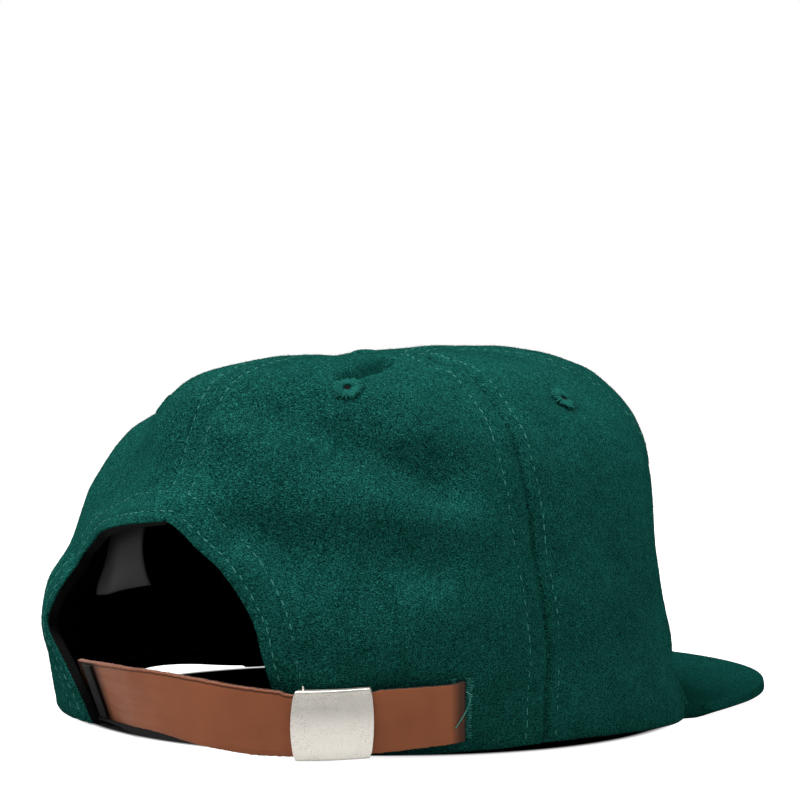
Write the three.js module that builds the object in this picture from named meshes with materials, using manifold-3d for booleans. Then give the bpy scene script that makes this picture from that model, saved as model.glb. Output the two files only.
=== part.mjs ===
// Wool cap with a leather strap and a metal slide buckle at the back.
// Millimetres, +Z up, peak toward -Y, the wearer's right toward -X.
// A turn is an angle about +Z in degrees: 0 at the front, 90 at the wearer's right, 180 at the rear.
// A level is the share of the way up the crown: 0 at the rim and 1 at the button.
import * as THREE from "three";
import Module from "manifold-3d";

// Cloth and leather thicknesses, and the space left between neighbours
const WOOL = 2.2;
const HEM = 3.3;
const HEM_REACH = 12;
const HEM_FADE = 4;
const LINING = 1.0;
const LINING_START = 0.03;
const LINING_EASE = 1.5;
const LINING_BACK = 19;
const LEATHER = 1.6;
const LABEL = 1.0;
const GAP = 0.3;

// Crown: half-lengths to the front, side and rear at each level, and how square each half of the plan is
const SECTIONS = [
  { level: 0, height: 0, front: 88, side: 93, rear: 82, squareFront: 2.33, squareRear: 2.25 },
  { level: 0.072, height: 14.1, front: 82.4, side: 93.4, rear: 86, squareFront: 2.1, squareRear: 2.25 },
  { level: 0.144, height: 26.1, front: 78.8, side: 94.4, rear: 89.2, squareFront: 1.9, squareRear: 2.25 },
  { level: 0.216, height: 38.1, front: 77.6, side: 93.2, rear: 89.5, squareFront: 1.8, squareRear: 2.15 },
  { level: 0.288, height: 50.1, front: 79.4, side: 89.8, rear: 87.5, squareFront: 1.84, squareRear: 2 },
  { level: 0.36, height: 62.2, front: 82.2, side: 87, rear: 83, squareFront: 1.9, squareRear: 2 },
  { level: 0.435, height: 74.4, front: 84, side: 83.3, rear: 76.5, squareFront: 2, squareRear: 2 },
  { level: 0.507, height: 84.8, front: 83.5, side: 76.8, rear: 73, squareFront: 2, squareRear: 2 },
  { level: 0.59, height: 94, front: 79.5, side: 65.8, rear: 66, squareFront: 2, squareRear: 2 },
  { level: 0.667, height: 99.8, front: 73, side: 55, rear: 57, squareFront: 2, squareRear: 2 },
  { level: 0.766, height: 103.6, front: 60, side: 39, rear: 43, squareFront: 2, squareRear: 2 },
  { level: 0.868, height: 105.3, front: 37, side: 22, rear: 25, squareFront: 2, squareRear: 2 },
  { level: 1, height: 105.8, front: 0, side: 0, rear: 0, squareFront: 2, squareRear: 2 },
];
const CROWN_TOP = 0.975;
const LEAN = 0.045;

// The rim lifts off the floor at each side
const RIM_LIFTS = [
  { turn: 106, width: 22, rise: 2.2 },
  { turn: -86, width: 16, rise: 3.2 },
];
const RIM_LIFT_TOP = 0.3;

// Seams besides the front and rear ones: turn at each level
const FRONT_SEAM = [
  { level: 0.0, turn: 62 },
  { level: 1.0, turn: 56 },
];
const SIDE_SEAM = [
  { level: 0.0, turn: 110 },
  { level: 1.0, turn: 110 },
];

// Rear opening: half-widths to the wearer's right and left at each height, the base drawn in by the strap
const REAR_OPENING = [
  { height: 0, right: 36, left: 36 },
  { height: 11, right: 37, left: 42 },
  { height: 19, right: 36.4, left: 50 },
  { height: 27, right: 35.4, left: 57.5 },
  { height: 34, right: 33.4, left: 54.5 },
  { height: 42, right: 28, left: 51 },
  { height: 49, right: 20.5, left: 50.5 },
  { height: 53.5, right: 12.8, left: 43 },
  { height: 57, right: 6.3, left: 32 },
  { height: 59.4, right: 2.2, left: 14 },
  { height: 60.2, right: 0, left: 0 },
];

// Dents and folds: from one place to another, each with its width and its depth along the outward normal
const FOLDS = [
  { from: { turn: 0, level: 0.97 }, to: { turn: 180, level: 0.97 }, width: 13, depth: -6.5 },
  { from: { turn: -148, level: 0.45 }, to: { turn: -121, level: 0.66 }, width: 26, depth: -9.2 },
  { from: { turn: -150, level: 0.27 }, to: { turn: -126, level: 0.3 }, width: 9, depth: -1.7 },
  { from: { turn: -95, level: 0.8 }, to: { turn: -52, level: 0.84 }, width: 16, depth: -1.8 },
  { from: { turn: 161, level: 0.56 }, to: { turn: 128, level: 0.44 }, width: 9, depth: -3 },
  { from: { turn: 158, level: 0.49 }, to: { turn: 124, level: 0.37 }, width: 9, depth: 1.6 },
  { from: { turn: 164, level: 0.36 }, to: { turn: 142, level: 0.24 }, width: 8, depth: -2.2 },
  { from: { turn: 154, level: 0.29 }, to: { turn: 150, level: 0.16 }, width: 7, depth: -1.6 },
  { from: { turn: 182, level: 0.5 }, to: { turn: 182, level: 0.44 }, width: 10, depth: -2 },
  { from: { turn: 72, level: 0.38 }, to: { turn: 69, level: 0.16 }, width: 10, depth: 0.8 },
  { from: { turn: 61, level: 0.1 }, to: { turn: 58, level: 0.4 }, width: 13, depth: -2.2 },
];

// Seams: a shallow valley where two panels meet
const SEAM_WIDTH = 2.6;
const SEAM_DEPTH = -0.9;

const rad = THREE.MathUtils.degToRad;

// Smooth value of one column of a table at x, where rows rise along the key column
function column(rows, key, x, name) {
  const last = rows.length - 1;
  let i = 0;
  while (i < last - 1 && x > rows[i + 1][key]) i += 1;
  const slope = (k) => {
    const a = rows[Math.max(k - 1, 0)];
    const b = rows[Math.min(k + 1, last)];
    return (b[name] - a[name]) / (b[key] - a[key]);
  };
  const width = rows[i + 1][key] - rows[i][key];
  const s = (x - rows[i][key]) / width;
  const h = s * s * (3 - 2 * s);
  const lead = s * (1 - s) * (1 - s) * width * slope(i);
  const trail = s * s * (s - 1) * width * slope(i + 1);
  return rows[i][name] * (1 - h) + rows[i + 1][name] * h + lead + trail;
}

// Level at a height, found by halving
const HALVINGS = 30;
function levelAt(height) {
  let low = 0;
  let high = 1;
  for (let k = 0; k < HALVINGS; k += 1) {
    const middle = (low + high) / 2;
    if (column(SECTIONS, "level", middle, "height") < height) low = middle;
    else high = middle;
  }
  return (low + high) / 2;
}

// Distance from the middle of the crown to its plain surface
function reach(turn, level) {
  const c = Math.cos(rad(turn));
  const s = Math.abs(Math.sin(rad(turn)));
  const n = column(SECTIONS, "level", level, c > 0 ? "squareFront" : "squareRear");
  const ahead = column(SECTIONS, "level", level, c > 0 ? "front" : "rear");
  const side = column(SECTIONS, "level", level, "side");
  return ((Math.abs(c) / ahead) ** n + (s / side) ** n) ** (-1 / n);
}

// Height that the rim's lift adds at a place
function rimLift(turn, level) {
  const fade = Math.max(0, 1 - level / RIM_LIFT_TOP) ** 2;
  const share = ({ turn: at, width }) => (((turn - at + 540) % 360) - 180) / width;
  return RIM_LIFTS.reduce((sum, lift) => sum + lift.rise * Math.exp(-(share(lift) ** 2)), 0) * fade;
}

// Point of the plain crown, before folds
const LEVEL_MOST = 0.999;
function plain(turn, level) {
  const safe = Math.min(level, LEVEL_MOST);
  const r = reach(turn, safe);
  const x = -r * Math.sin(rad(turn));
  const y = -r * Math.cos(rad(turn));
  const lean = LEAN * y * safe * safe;
  const z = column(SECTIONS, "level", safe, "height") - lean + rimLift(turn, safe);
  return new THREE.Vector3(x, y, z);
}

// Outward direction of the plain crown
const TURN_STEP = 0.5;
const LEVEL_STEP = 0.004;
const LEVEL_LIMIT = 0.985;
function outward(turn, level) {
  const base = Math.min(Math.max(level, LEVEL_STEP), LEVEL_LIMIT);
  const across = plain(turn + TURN_STEP, base).sub(plain(turn - TURN_STEP, base));
  const up = plain(turn, base + LEVEL_STEP).sub(plain(turn, base - LEVEL_STEP));
  return up.cross(across).normalize();
}

// Fold lines laid on the plain crown as short chords
const CHORDS = 6;
const foldLines = FOLDS.map((fold) => {
  const points = [];
  for (let k = 0; k <= CHORDS; k += 1) {
    const turn = THREE.MathUtils.lerp(fold.from.turn, fold.to.turn, k / CHORDS);
    const level = THREE.MathUtils.lerp(fold.from.level, fold.to.level, k / CHORDS);
    points.push(plain(turn, level));
  }
  return { points, width: fold.width, depth: fold.depth };
});

function distanceTo(points, p) {
  let nearest = Infinity;
  for (let k = 0; k < points.length - 1; k += 1) {
    const chord = new THREE.Line3(points[k], points[k + 1]);
    const foot = chord.closestPointToPoint(p, true, new THREE.Vector3());
    nearest = Math.min(nearest, foot.distanceTo(p));
  }
  return nearest;
}

function seamAt(table, level) {
  return column(table, "level", level, "turn");
}

// How far the cloth stands out from the plain crown
function relief(turn, level, p) {
  let out = 0;
  for (const line of foldLines) {
    const share = distanceTo(line.points, p) / line.width;
    out += line.depth * Math.exp(-share * share);
  }
  const r = Math.hypot(p.x, p.y);
  const folded = Math.abs(((turn % 360) + 540) % 360 - 180);
  for (const at of [0, seamAt(FRONT_SEAM, level), seamAt(SIDE_SEAM, level), 180]) {
    const share = (r * rad(folded - at)) / SEAM_WIDTH;
    out += SEAM_DEPTH * Math.exp(-share * share);
  }
  return out;
}

// Point of the crown's outer face, moved out by extra along the normal, level near the rim
const RIM_LEVEL = 0.02;
function crown(turn, level, extra = 0) {
  const p = plain(turn, level);
  const out = relief(turn, level, p) + extra;
  const n = outward(turn, level);
  if (level < RIM_LEVEL) n.setZ(0).normalize();
  p.addScaledVector(n, out);
  if (level <= 0) p.z = rimLift(turn, 0);
  return p;
}

// Closed body between two matching nets of points, joined all round their edges
function slab(outer, inner) {
  const rows = outer.length;
  const cols = outer[0].length;
  const net = [...outer.flat(), ...inner.flat()];
  const at = (side, i, j) => (side * rows + i) * cols + j;
  const index = [];
  const quad = (a, b, c, d) => index.push(a, b, c, a, c, d);
  for (let i = 0; i < rows - 1; i += 1) {
    for (let j = 0; j < cols - 1; j += 1) {
      quad(at(0, i, j), at(0, i + 1, j), at(0, i + 1, j + 1), at(0, i, j + 1));
      quad(at(1, i, j), at(1, i, j + 1), at(1, i + 1, j + 1), at(1, i + 1, j));
    }
    quad(at(0, i, 0), at(1, i, 0), at(1, i + 1, 0), at(0, i + 1, 0));
    quad(at(0, i, cols - 1), at(0, i + 1, cols - 1), at(1, i + 1, cols - 1), at(1, i, cols - 1));
  }
  for (let j = 0; j < cols - 1; j += 1) {
    quad(at(0, 0, j), at(0, 0, j + 1), at(1, 0, j + 1), at(1, 0, j));
    quad(at(0, rows - 1, j), at(1, rows - 1, j), at(1, rows - 1, j + 1), at(0, rows - 1, j + 1));
  }
  return solid(net, index);
}

// Geometry from points and triangle indices, turned to face out
function solid(points, index) {
  let volume = 0;
  for (let k = 0; k < index.length; k += 3) {
    const [a, b, c] = [points[index[k]], points[index[k + 1]], points[index[k + 2]]];
    volume += a.dot(b.clone().cross(c));
  }
  const facing = volume < 0 ? index.slice().reverse() : index;
  const geometry = new THREE.BufferGeometry().setFromPoints(points);
  geometry.setIndex(facing);
  geometry.computeVertexNormals();
  return geometry;
}

const wasm = await Module();
wasm.setup();

function toManifold(geometry) {
  const vertProperties = new Float32Array(geometry.getAttribute("position").array);
  const triVerts = new Uint32Array(geometry.getIndex().array);
  return new wasm.Manifold(new wasm.Mesh({ numProp: 3, vertProperties, triVerts }));
}

function cut(geometry, tools) {
  let body = toManifold(geometry);
  for (const tool of tools) body = body.subtract(tool);
  const mesh = body.getMesh();
  const points = [];
  for (let k = 0; k < mesh.vertProperties.length; k += mesh.numProp) {
    points.push(new THREE.Vector3(...mesh.vertProperties.slice(k, k + 3)));
  }
  return solid(points, Array.from(mesh.triVerts));
}

const group = new THREE.Group();
group.name = "strapback_cap";

const FINISH = {
  wool: { color: 0x0d4b3e, roughness: 0.95, metalness: 0 },
  black: { color: 0x08090a, roughness: 0.9, metalness: 0 },
  thread: { color: 0x2c685f, roughness: 0.8, metalness: 0 },
  leather: { color: 0x85503a, roughness: 0.6, metalness: 0 },
  nickel: { color: 0xcdc6bc, roughness: 0.4, metalness: 1 },
  paper: { color: 0x8c8e8c, roughness: 0.8, metalness: 0 },
};

function add(name, geometry, finish) {
  const mesh = new THREE.Mesh(geometry, new THREE.MeshStandardMaterial(FINISH[finish]));
  mesh.name = name;
  group.add(mesh);
  return mesh;
}

const lerp = THREE.MathUtils.lerp;

// Turn where the crown's rear is so far from the middle plane, found by repeating
const TURN_ROUNDS = 8;
function turnAtHalf(half, level) {
  let turn = 180;
  for (let k = 0; k < TURN_ROUNDS; k += 1) {
    turn = 180 - THREE.MathUtils.radToDeg(Math.asin(half / reach(turn, level)));
  }
  return turn;
}

// Rear edge of a back panel: up the side of the opening, then up the middle seam
const ARCH_ROWS = 10;
const SEAM_ROWS = 10;
const archTop = REAR_OPENING[REAR_OPENING.length - 1].height;

function rearEdge(row, name) {
  if (row >= ARCH_ROWS) {
    const level = lerp(levelAt(archTop), CROWN_TOP, (row - ARCH_ROWS) / SEAM_ROWS);
    return { turn: 180, level };
  }
  const rise = Math.sin((row / ARCH_ROWS) * (Math.PI / 2));
  const height = archTop * rise;
  const half = Math.max(0, column(REAR_OPENING, "height", height, name));
  const level = row === 0 ? 0 : levelAt(height);
  return { turn: turnAtHalf(half, level), level };
}

// Line of the opening's edge on the plain crown, on both sides
const edgeLine = [];
for (let row = -ARCH_ROWS; row <= ARCH_ROWS; row += 1) {
  const side = row < 0 ? 1 : -1;
  const edge = rearEdge(ARCH_ROWS - Math.abs(row), side === 1 ? "right" : "left");
  edgeLine.push(plain(side * edge.turn, edge.level));
}

// Cloth thickness, doubled into a hem along the rear opening
function wall(turn, level) {
  const away = distanceTo(edgeLine, plain(turn, level));
  return lerp(HEM, WOOL, THREE.MathUtils.smoothstep(away, HEM_REACH - HEM_FADE, HEM_REACH));
}

// Spacing across a panel, closer at its two seams
function spread(count) {
  const inner = Array.from({ length: count + 1 }, (_, k) => k / count);
  return [0, 0.012, 0.035, ...inner.slice(1, count), 0.965, 0.988, 1];
}

// Half the seam gap as a turn at this radius
function seamTurn(turn, level) {
  return THREE.MathUtils.radToDeg(GAP / 2 / reach(turn, level));
}

// Net of places over a back panel; turns are taken as on the wearer's right
function backNet(across, name) {
  const rows = ARCH_ROWS + SEAM_ROWS;
  return across.map((u) => Array.from({ length: rows + 1 }, (_, row) => {
    const start = (row / rows) * CROWN_TOP;
    const rear = rearEdge(row, name);
    const level = lerp(start, rear.level, u);
    const turn = lerp(seamAt(SIDE_SEAM, start), rear.turn, u);
    const trim = seamTurn(turn, level);
    return { turn: Math.max(seamAt(SIDE_SEAM, level) + trim, Math.min(turn, 180 - trim)), level };
  }));
}

// Net of places over a side or front panel, between two seams
const PANEL_ROWS = 18;
function panelNet(across, rearward, forward) {
  return across.map((u) => Array.from({ length: PANEL_ROWS + 1 }, (_, row) => {
    const level = (row / PANEL_ROWS) * CROWN_TOP;
    const turn = lerp(rearward(level), forward(level), u);
    const trim = seamTurn(turn, level);
    return { turn: Math.min(rearward(level) - trim, Math.max(turn, forward(level) + trim)), level };
  }));
}

// Wall of cloth over a net of places, on the right (side 1) or mirrored to the left (side -1)
function clothWall(net, side) {
  const face = (depth) => net.map((line) => line.map((place) => {
    const turn = side * place.turn;
    return crown(turn, place.level, -depth(turn, place.level));
  }));
  return slab(face(() => 0), face(wall));
}

// Eyelets: one worked into each panel
const EYELETS = [
  { panel: "back_right", turn: 144.5, level: 0.612 },
  { panel: "back_left", turn: -144.5, level: 0.612 },
  { panel: "side_right", turn: 88.5, level: 0.566 },
  { panel: "side_left", turn: -88.5, level: 0.566 },
  { panel: "front_right", turn: 29, level: 0.6 },
  { panel: "front_left", turn: -29, level: 0.6 },
];
const EYELET_RADIUS = 4.7;
const EYELET_HOLE = 1.2;
const EYELET_THICK = 0.8;
const EYELET_ROUND = 0.4;
const PLUG_LONG = 16;
const PLUG_SIDES = 12;
const EYELET_SIDES = 16;

// Place a short way along and up the cloth from another place
function nearby(turn, level, along, up) {
  const r = reach(turn, level);
  const span = 2 * LEVEL_STEP;
  const rise = plain(turn, level + LEVEL_STEP).distanceTo(plain(turn, level - LEVEL_STEP)) / span;
  return { turn: turn + THREE.MathUtils.radToDeg(along / r), level: level + up / rise };
}

function eyelet({ turn, level }) {
  const ring = (radius, lift) => Array.from({ length: EYELET_SIDES + 1 }, (_, k) => {
    const angle = ((k % EYELET_SIDES) / EYELET_SIDES) * 2 * Math.PI;
    const at = nearby(turn, level, radius * Math.cos(angle), radius * Math.sin(angle));
    return crown(at.turn, at.level, lift);
  });
  const loops = [
    ring(EYELET_RADIUS, GAP),
    ring(EYELET_RADIUS - EYELET_ROUND, GAP + EYELET_THICK),
    ring(EYELET_HOLE, GAP + EYELET_THICK),
    ring(EYELET_HOLE, GAP),
  ];
  return hoop(loops);
}

// Closed ring between loops of matching points, each loop ending where it began
function hoop(loops) {
  const sides = loops[0].length - 1;
  const points = loops.flatMap((loop) => loop.slice(0, sides));
  const index = [];
  for (let i = 0; i < loops.length; i += 1) {
    const next = (i + 1) % loops.length;
    for (let k = 0; k < sides; k += 1) {
      const [a, b] = [i * sides + k, i * sides + ((k + 1) % sides)];
      const [c, d] = [next * sides + k, next * sides + ((k + 1) % sides)];
      index.push(a, b, d, a, d, c);
    }
  }
  return solid(points, index);
}

// Straight plug along the outward normal, to cut an eyelet's hole
function plug({ turn, level }) {
  const place = new THREE.Matrix4().makeRotationFromQuaternion(
    new THREE.Quaternion().setFromUnitVectors(new THREE.Vector3(0, 0, 1), outward(turn, level)),
  );
  place.setPosition(crown(turn, level));
  return wasm.Manifold.cylinder(PLUG_LONG, EYELET_HOLE, EYELET_HOLE, PLUG_SIDES, true)
    .transform(place.elements);
}

// Strap: distance of its top edge out from the crown, how far the lower edge is tucked in,
// height of the lower edge, and width
const STRAP_LEVEL = 0.11;
const STRAP = [
  { turn: 210, out: -5.8, tuck: 5.4, low: 1.2, wide: 16.4 },
  { turn: 206, out: -5.7, tuck: 5.4, low: 1.4, wide: 16.4 },
  { turn: 201, out: -4.9, tuck: 5.5, low: 1.8, wide: 16.5 },
  { turn: 195, out: -3.4, tuck: 4.2, low: 2.5, wide: 16.4 },
  { turn: 187, out: -1, tuck: 2, low: 3.3, wide: 16.1 },
  { turn: 178, out: 1.2, tuck: 0.6, low: 3.5, wide: 16.4 },
  { turn: 168, out: 3, tuck: 0, low: 2.1, wide: 17.4 },
  { turn: 158, out: 3.6, tuck: 0, low: 1, wide: 17.3 },
  { turn: 153.8, out: 3.45, tuck: 0, low: 1.05, wide: 16.8 },
  { turn: 152, out: 3.38, tuck: 0, low: 1.1, wide: 16 },
  { turn: 145, out: 3, tuck: 0, low: 1.7, wide: 15.9 },
  { turn: 139, out: 2.5, tuck: 0, low: 2.5, wide: 15.8 },
  { turn: 137.4, out: 2.35, tuck: 0, low: 2.7, wide: 16.2 },
  { turn: 131, out: 1.9, tuck: 0, low: 3.9, wide: 15.6 },
  { turn: 127.6, out: 1.8, tuck: 0, low: 4.5, wide: 15.3 },
  { turn: 125.8, out: 1.5, tuck: 0, low: 4.9, wide: 15.3 },
  { turn: 125.1, out: 0.4, tuck: 0, low: 5, wide: 15.3 },
  { turn: 125, out: -3, tuck: 0, low: 5, wide: 15.3 },
  { turn: 125, out: -7, tuck: 0, low: 5, wide: 15.3 },
];
const strapCurve = new THREE.CatmullRomCurve3(STRAP.map((row) => {
  const r = reach(row.turn, STRAP_LEVEL) + row.out;
  return new THREE.Vector3(-r * Math.sin(rad(row.turn)), -r * Math.cos(rad(row.turn)), row.low);
}), false, "centripetal");
const strapLength = strapCurve.getLength();

// Value of one column of the strap's table at a length along it
function strapValue(along, name) {
  const place = strapCurve.getUtoTmapping(along / strapLength) * (STRAP.length - 1);
  const i = Math.min(Math.floor(place), STRAP.length - 2);
  return lerp(STRAP[i][name], STRAP[i + 1][name], place - i);
}

// Point on the strap: length along it, height above its lower edge, and depth out from its middle
function onStrap(along, up, out) {
  const share = along / strapLength;
  const tuck = strapValue(along, "tuck") * (1 - up / strapValue(along, "wide"));
  const p = strapCurve.getPointAt(share);
  const tangent = strapCurve.getTangentAt(share).setZ(0).normalize();
  const away = new THREE.Vector3(tangent.y, -tangent.x, 0);
  return p.addScaledVector(away, out - tuck).setZ(p.z + up);
}

const STRAP_STEPS = 60;
const strapFace = (out) => Array.from({ length: STRAP_STEPS + 1 }, (_, k) => {
  const along = (k / STRAP_STEPS) * strapLength;
  return [0, strapValue(along, "wide")].map((up) => onStrap(along, up, out));
});

// Slit in the back panel and the lining for the strap's end
const SLIT_WIDE = LEATHER + 3 * GAP;
const SLIT_DEEP = 24;
const strapEnd = STRAP[STRAP.length - 1];
function slit() {
  const at = crown(strapEnd.turn, STRAP_LEVEL);
  return wasm.Manifold.cube([SLIT_DEEP, SLIT_WIDE, strapEnd.wide + 2 * GAP], true)
    .rotate([0, 0, 270 - strapEnd.turn])
    .translate([at.x, at.y, strapEnd.low + strapEnd.wide / 2]);
}

// Buckle: a sheet folded round the strap, its two ends bowed and its face bellied out
const BUCKLE = { middle: 102.8, half: 10, bow: 0.6, belly: 0.7, tall: 16, thick: 0.7, lip: 5 };
const BUCKLE_STEPS = 8;
function buckle() {
  const gap = LEATHER / 2 + GAP;
  const swell = (share) => gap + BUCKLE.belly * Math.sin(share * Math.PI);
  const fold = (grow) => {
    const bottom = -GAP - grow;
    const top = BUCKLE.tall + GAP + grow;
    const front = [0.25, 0.5, 0.75].map((share) => ({ up: BUCKLE.tall * share, out: swell(share) + grow }));
    return [
      { up: BUCKLE.lip, out: -gap - grow },
      { up: bottom, out: -gap - grow },
      { up: bottom, out: gap + grow },
      ...front,
      { up: top, out: gap + grow },
      { up: top, out: -gap - grow },
      { up: BUCKLE.tall - BUCKLE.lip, out: -gap - grow },
    ];
  };
  const face = (grow) => Array.from({ length: BUCKLE_STEPS + 1 }, (_, k) => {
    const share = (2 * k) / BUCKLE_STEPS - 1;
    return fold(grow).map(({ up, out }) => {
      const tilt = (2 * up) / BUCKLE.tall - 1;
      const half = BUCKLE.half + BUCKLE.bow * Math.max(0, 1 - tilt * tilt);
      return onStrap(BUCKLE.middle + share * half, up, out);
    });
  });
  return slab(face(BUCKLE.thick), face(0));
}

// Peak: half-width and reach of its outline, how far round the crown it is sewn, the share of its depth
// that lies flat, how much its outer edge lifts, and how that edge is rounded
const PEAK = {
  half: 88.5, centre: -44, reach: 96, square: 2.25, thick: 2.9, sewn: 66, flat: 0.32, lift: 1.4,
  edge: 0.95, round: 0.9,
};
const PEAK_STEPS = 32;
const PEAK_SHARES = [0, 0.14, 0.32, 0.5, 0.68, 0.84, 0.94, 0.98, 1];
const JOINT_HEIGHTS = [0, 2, 4];
function peak() {
  const outline = (u) => {
    const angle = lerp(-90, 90, u);
    const c = Math.cos(rad(angle)) ** (2 / PEAK.square);
    const s = Math.sign(angle) * Math.abs(Math.sin(rad(angle))) ** (2 / PEAK.square);
    return new THREE.Vector3(PEAK.half * s, PEAK.centre - PEAK.reach * c, 0);
  };
  const across = (p) => Math.hypot(p.x, p.y);
  const past = (v, start) => Math.max(0, v - start) / (1 - start);
  const net = Array.from({ length: PEAK_STEPS + 1 }, (_, k) => {
    const u = k / PEAK_STEPS;
    const turn = lerp(PEAK.sewn, -PEAK.sewn, u);
    const inside = JOINT_HEIGHTS
      .map((height) => crown(turn, levelAt(height), 2 * GAP))
      .reduce((a, b) => (across(a) > across(b) ? a : b))
      .setZ(0);
    const outside = outline(u);
    return PEAK_SHARES.map((v) => ({ p: inside.clone().lerp(outside, v), v }));
  });
  const face = (top) => net.map((line) => line.map(({ p, v }) => {
    const inset = PEAK.round * past(v, PEAK.edge) ** 2;
    const under = PEAK.lift * past(v, PEAK.flat) ** 2;
    return p.clone().setZ(under + (top ? PEAK.thick - inset : inset));
  }));
  return slab(face(true), face(false));
}

// Lining: one skin behind all the panels, stopping short of the rear hem
const LINING_ROWS = 12;
const LINING_ACROSS = [0, 0.05, 0.12, 0.2, 0.28, 0.36, 0.44, 0.52, 0.58, 0.63, 0.68, 0.73, 0.8, 0.9, 1];
function lining() {
  const place = (u, name, row) => {
    const rear = rearEdge((row / LINING_ROWS) * (ARCH_ROWS + SEAM_ROWS), name);
    const front = lerp(LINING_START, CROWN_TOP, row / LINING_ROWS);
    const along = Math.min(1, row / (LINING_ROWS / 2));
    const back = GAP + LINING_BACK * Math.max(0, Math.cos((along * Math.PI) / 2));
    const turn = rear.turn - THREE.MathUtils.radToDeg(back / reach(rear.turn, rear.level));
    const foot = rear.level + LINING_START * (1 - u);
    const level = Math.max(LINING_START, lerp(foot, front, Math.min(1, u * 2)));
    return { turn: turn * (1 - u), level: Math.min(level, CROWN_TOP) };
  };
  const lines = [];
  for (const u of LINING_ACROSS) lines.push({ u, side: 1, name: "right" });
  for (const u of LINING_ACROSS.slice(0, -1).reverse()) lines.push({ u, side: -1, name: "left" });
  const face = (extra) => lines.map(({ u, side, name }) => {
    const places = Array.from({ length: LINING_ROWS + 1 }, (_, row) => place(u, name, row));
    return places.map(({ turn, level }) => crown(side * turn, level, -(wall(side * turn, level) + extra)));
  });
  return slab(face(LINING_EASE), face(LINING_EASE + LINING));
}

// Labels: a loop over the strap beside the opening, and a care label hung inside the opening
const LOOP_LABEL = { from: 8.8, wide: 4.6, lean: 0.06, low: 0.6, tall: 15 };
function loopLabel() {
  const face = (out) => [0, 0.33, 0.66, 1].map((u) => [0, 0.5, 1].map((v) => {
    const up = LOOP_LABEL.low + v * LOOP_LABEL.tall;
    return onStrap(LOOP_LABEL.from + LOOP_LABEL.wide * u - LOOP_LABEL.lean * up, up, out);
  }));
  return slab(face(LEATHER / 2 + GAP + LABEL), face(LEATHER / 2 + GAP));
}

const CARE_LABEL = { from: -166, to: -144, sway: -8, top: 61.5, tall: 23, slant: 5, curl: 5, proud: 1 };
function careLabel() {
  const steps = [0, 0.25, 0.5, 0.75, 1];
  const face = (extra) => steps.map((u) => steps.map((v) => {
    const drop = v * (CARE_LABEL.tall - CARE_LABEL.slant * (1 - u));
    const level = levelAt(CARE_LABEL.top - drop);
    const turn = lerp(CARE_LABEL.from, CARE_LABEL.to, u) + CARE_LABEL.sway * v;
    const inward = HEM + LINING_EASE + LINING + CARE_LABEL.proud + CARE_LABEL.curl * v * v + extra;
    return crown(turn, level, -inward);
  }));
  return slab(face(0), face(LABEL));
}

// Cloth button, its shank down through the hole where the panels meet
const BUTTON = { radius: 6.2, tall: 4.2, shank: 1.6, deep: 3.5, sides: 20 };
const SEAT_LEVELS = [CROWN_TOP - 0.01, CROWN_TOP, CROWN_TOP + 0.01];
const SEAT_TURNS = 18;

// Dome of the button: share of its radius at each share of its height
const DOME = [
  { across: 0.9, up: 0 },
  { across: 1, up: 0.25 },
  { across: 0.93, up: 0.55 },
  { across: 0.7, up: 0.83 },
  { across: 0.38, up: 0.97 },
  { across: 0, up: 1 },
];
function button() {
  let seat = -Infinity;
  for (let k = 0; k < SEAT_TURNS; k += 1) {
    for (const level of SEAT_LEVELS) seat = Math.max(seat, crown((k / SEAT_TURNS) * 360, level).z);
  }
  const profile = [
    new THREE.Vector2(0, -BUTTON.deep),
    new THREE.Vector2(BUTTON.shank, -BUTTON.deep),
    new THREE.Vector2(BUTTON.shank, 0),
    ...DOME.map(({ across, up }) => new THREE.Vector2(BUTTON.radius * across, BUTTON.tall * up)),
  ];
  const lathe = new THREE.LatheGeometry(profile, BUTTON.sides);
  lathe.rotateX(Math.PI / 2);
  lathe.translate(0, 0, seat + GAP);
  return lathe;
}

for (const [name, side] of [["right", 1], ["left", -1]]) {
  const holes = (panel) => EYELETS.filter((row) => row.panel === panel).map(plug);
  const nets = {
    back: backNet(spread(11), name),
    side: panelNet(spread(7), (level) => seamAt(SIDE_SEAM, level), (level) => seamAt(FRONT_SEAM, level)),
    front: panelNet(spread(8), (level) => seamAt(FRONT_SEAM, level), () => 0),
  };
  for (const [place, net] of Object.entries(nets)) {
    const cuts = holes(`${place}_${name}`);
    if (side === 1 && place === "back") cuts.push(slit());
    add(`crown_panel_${place}_${name}`, cut(clothWall(net, side), cuts), "wool");
  }
}
for (const row of EYELETS) add(`eyelet_${row.panel}`, eyelet(row), "thread");
add("peak", peak(), "wool");
add("strap", slab(strapFace(LEATHER / 2), strapFace(-LEATHER / 2)), "leather");
add("buckle", buckle(), "nickel");
add("loop_label", loopLabel(), "black");
add("care_label", careLabel(), "paper");
add("lining", cut(lining(), [slit()]), "black");
add("top_button", button(), "wool");

// Rest the part on z = 0 with the middle of its outline at the origin
const box = new THREE.Box3().setFromObject(group);
const middle = box.getCenter(new THREE.Vector3());
for (const mesh of group.children) mesh.geometry.translate(-middle.x, -middle.y, -box.min.z);

export default group;
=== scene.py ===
"""Looks of a six-panel wool cap with a leather strap and a metal slide buckle, dressed round its CAD frame.

Shapes are worked out in millimetres on the crown's own axes and made metres in the row frame.
A turn is an angle about +Z in degrees: 0 at the front, 90 at the wearer's right, 180 at the rear.
A level is the share of the way up the crown: 0 at the rim and 1 at the button.
"""
import sys

import logging
import math
from dataclasses import dataclass, field
from enum import Enum
from itertools import count
from typing import Callable, Sequence

import bmesh
import bpy
import numpy as np
from mathutils import Matrix, Vector

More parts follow.
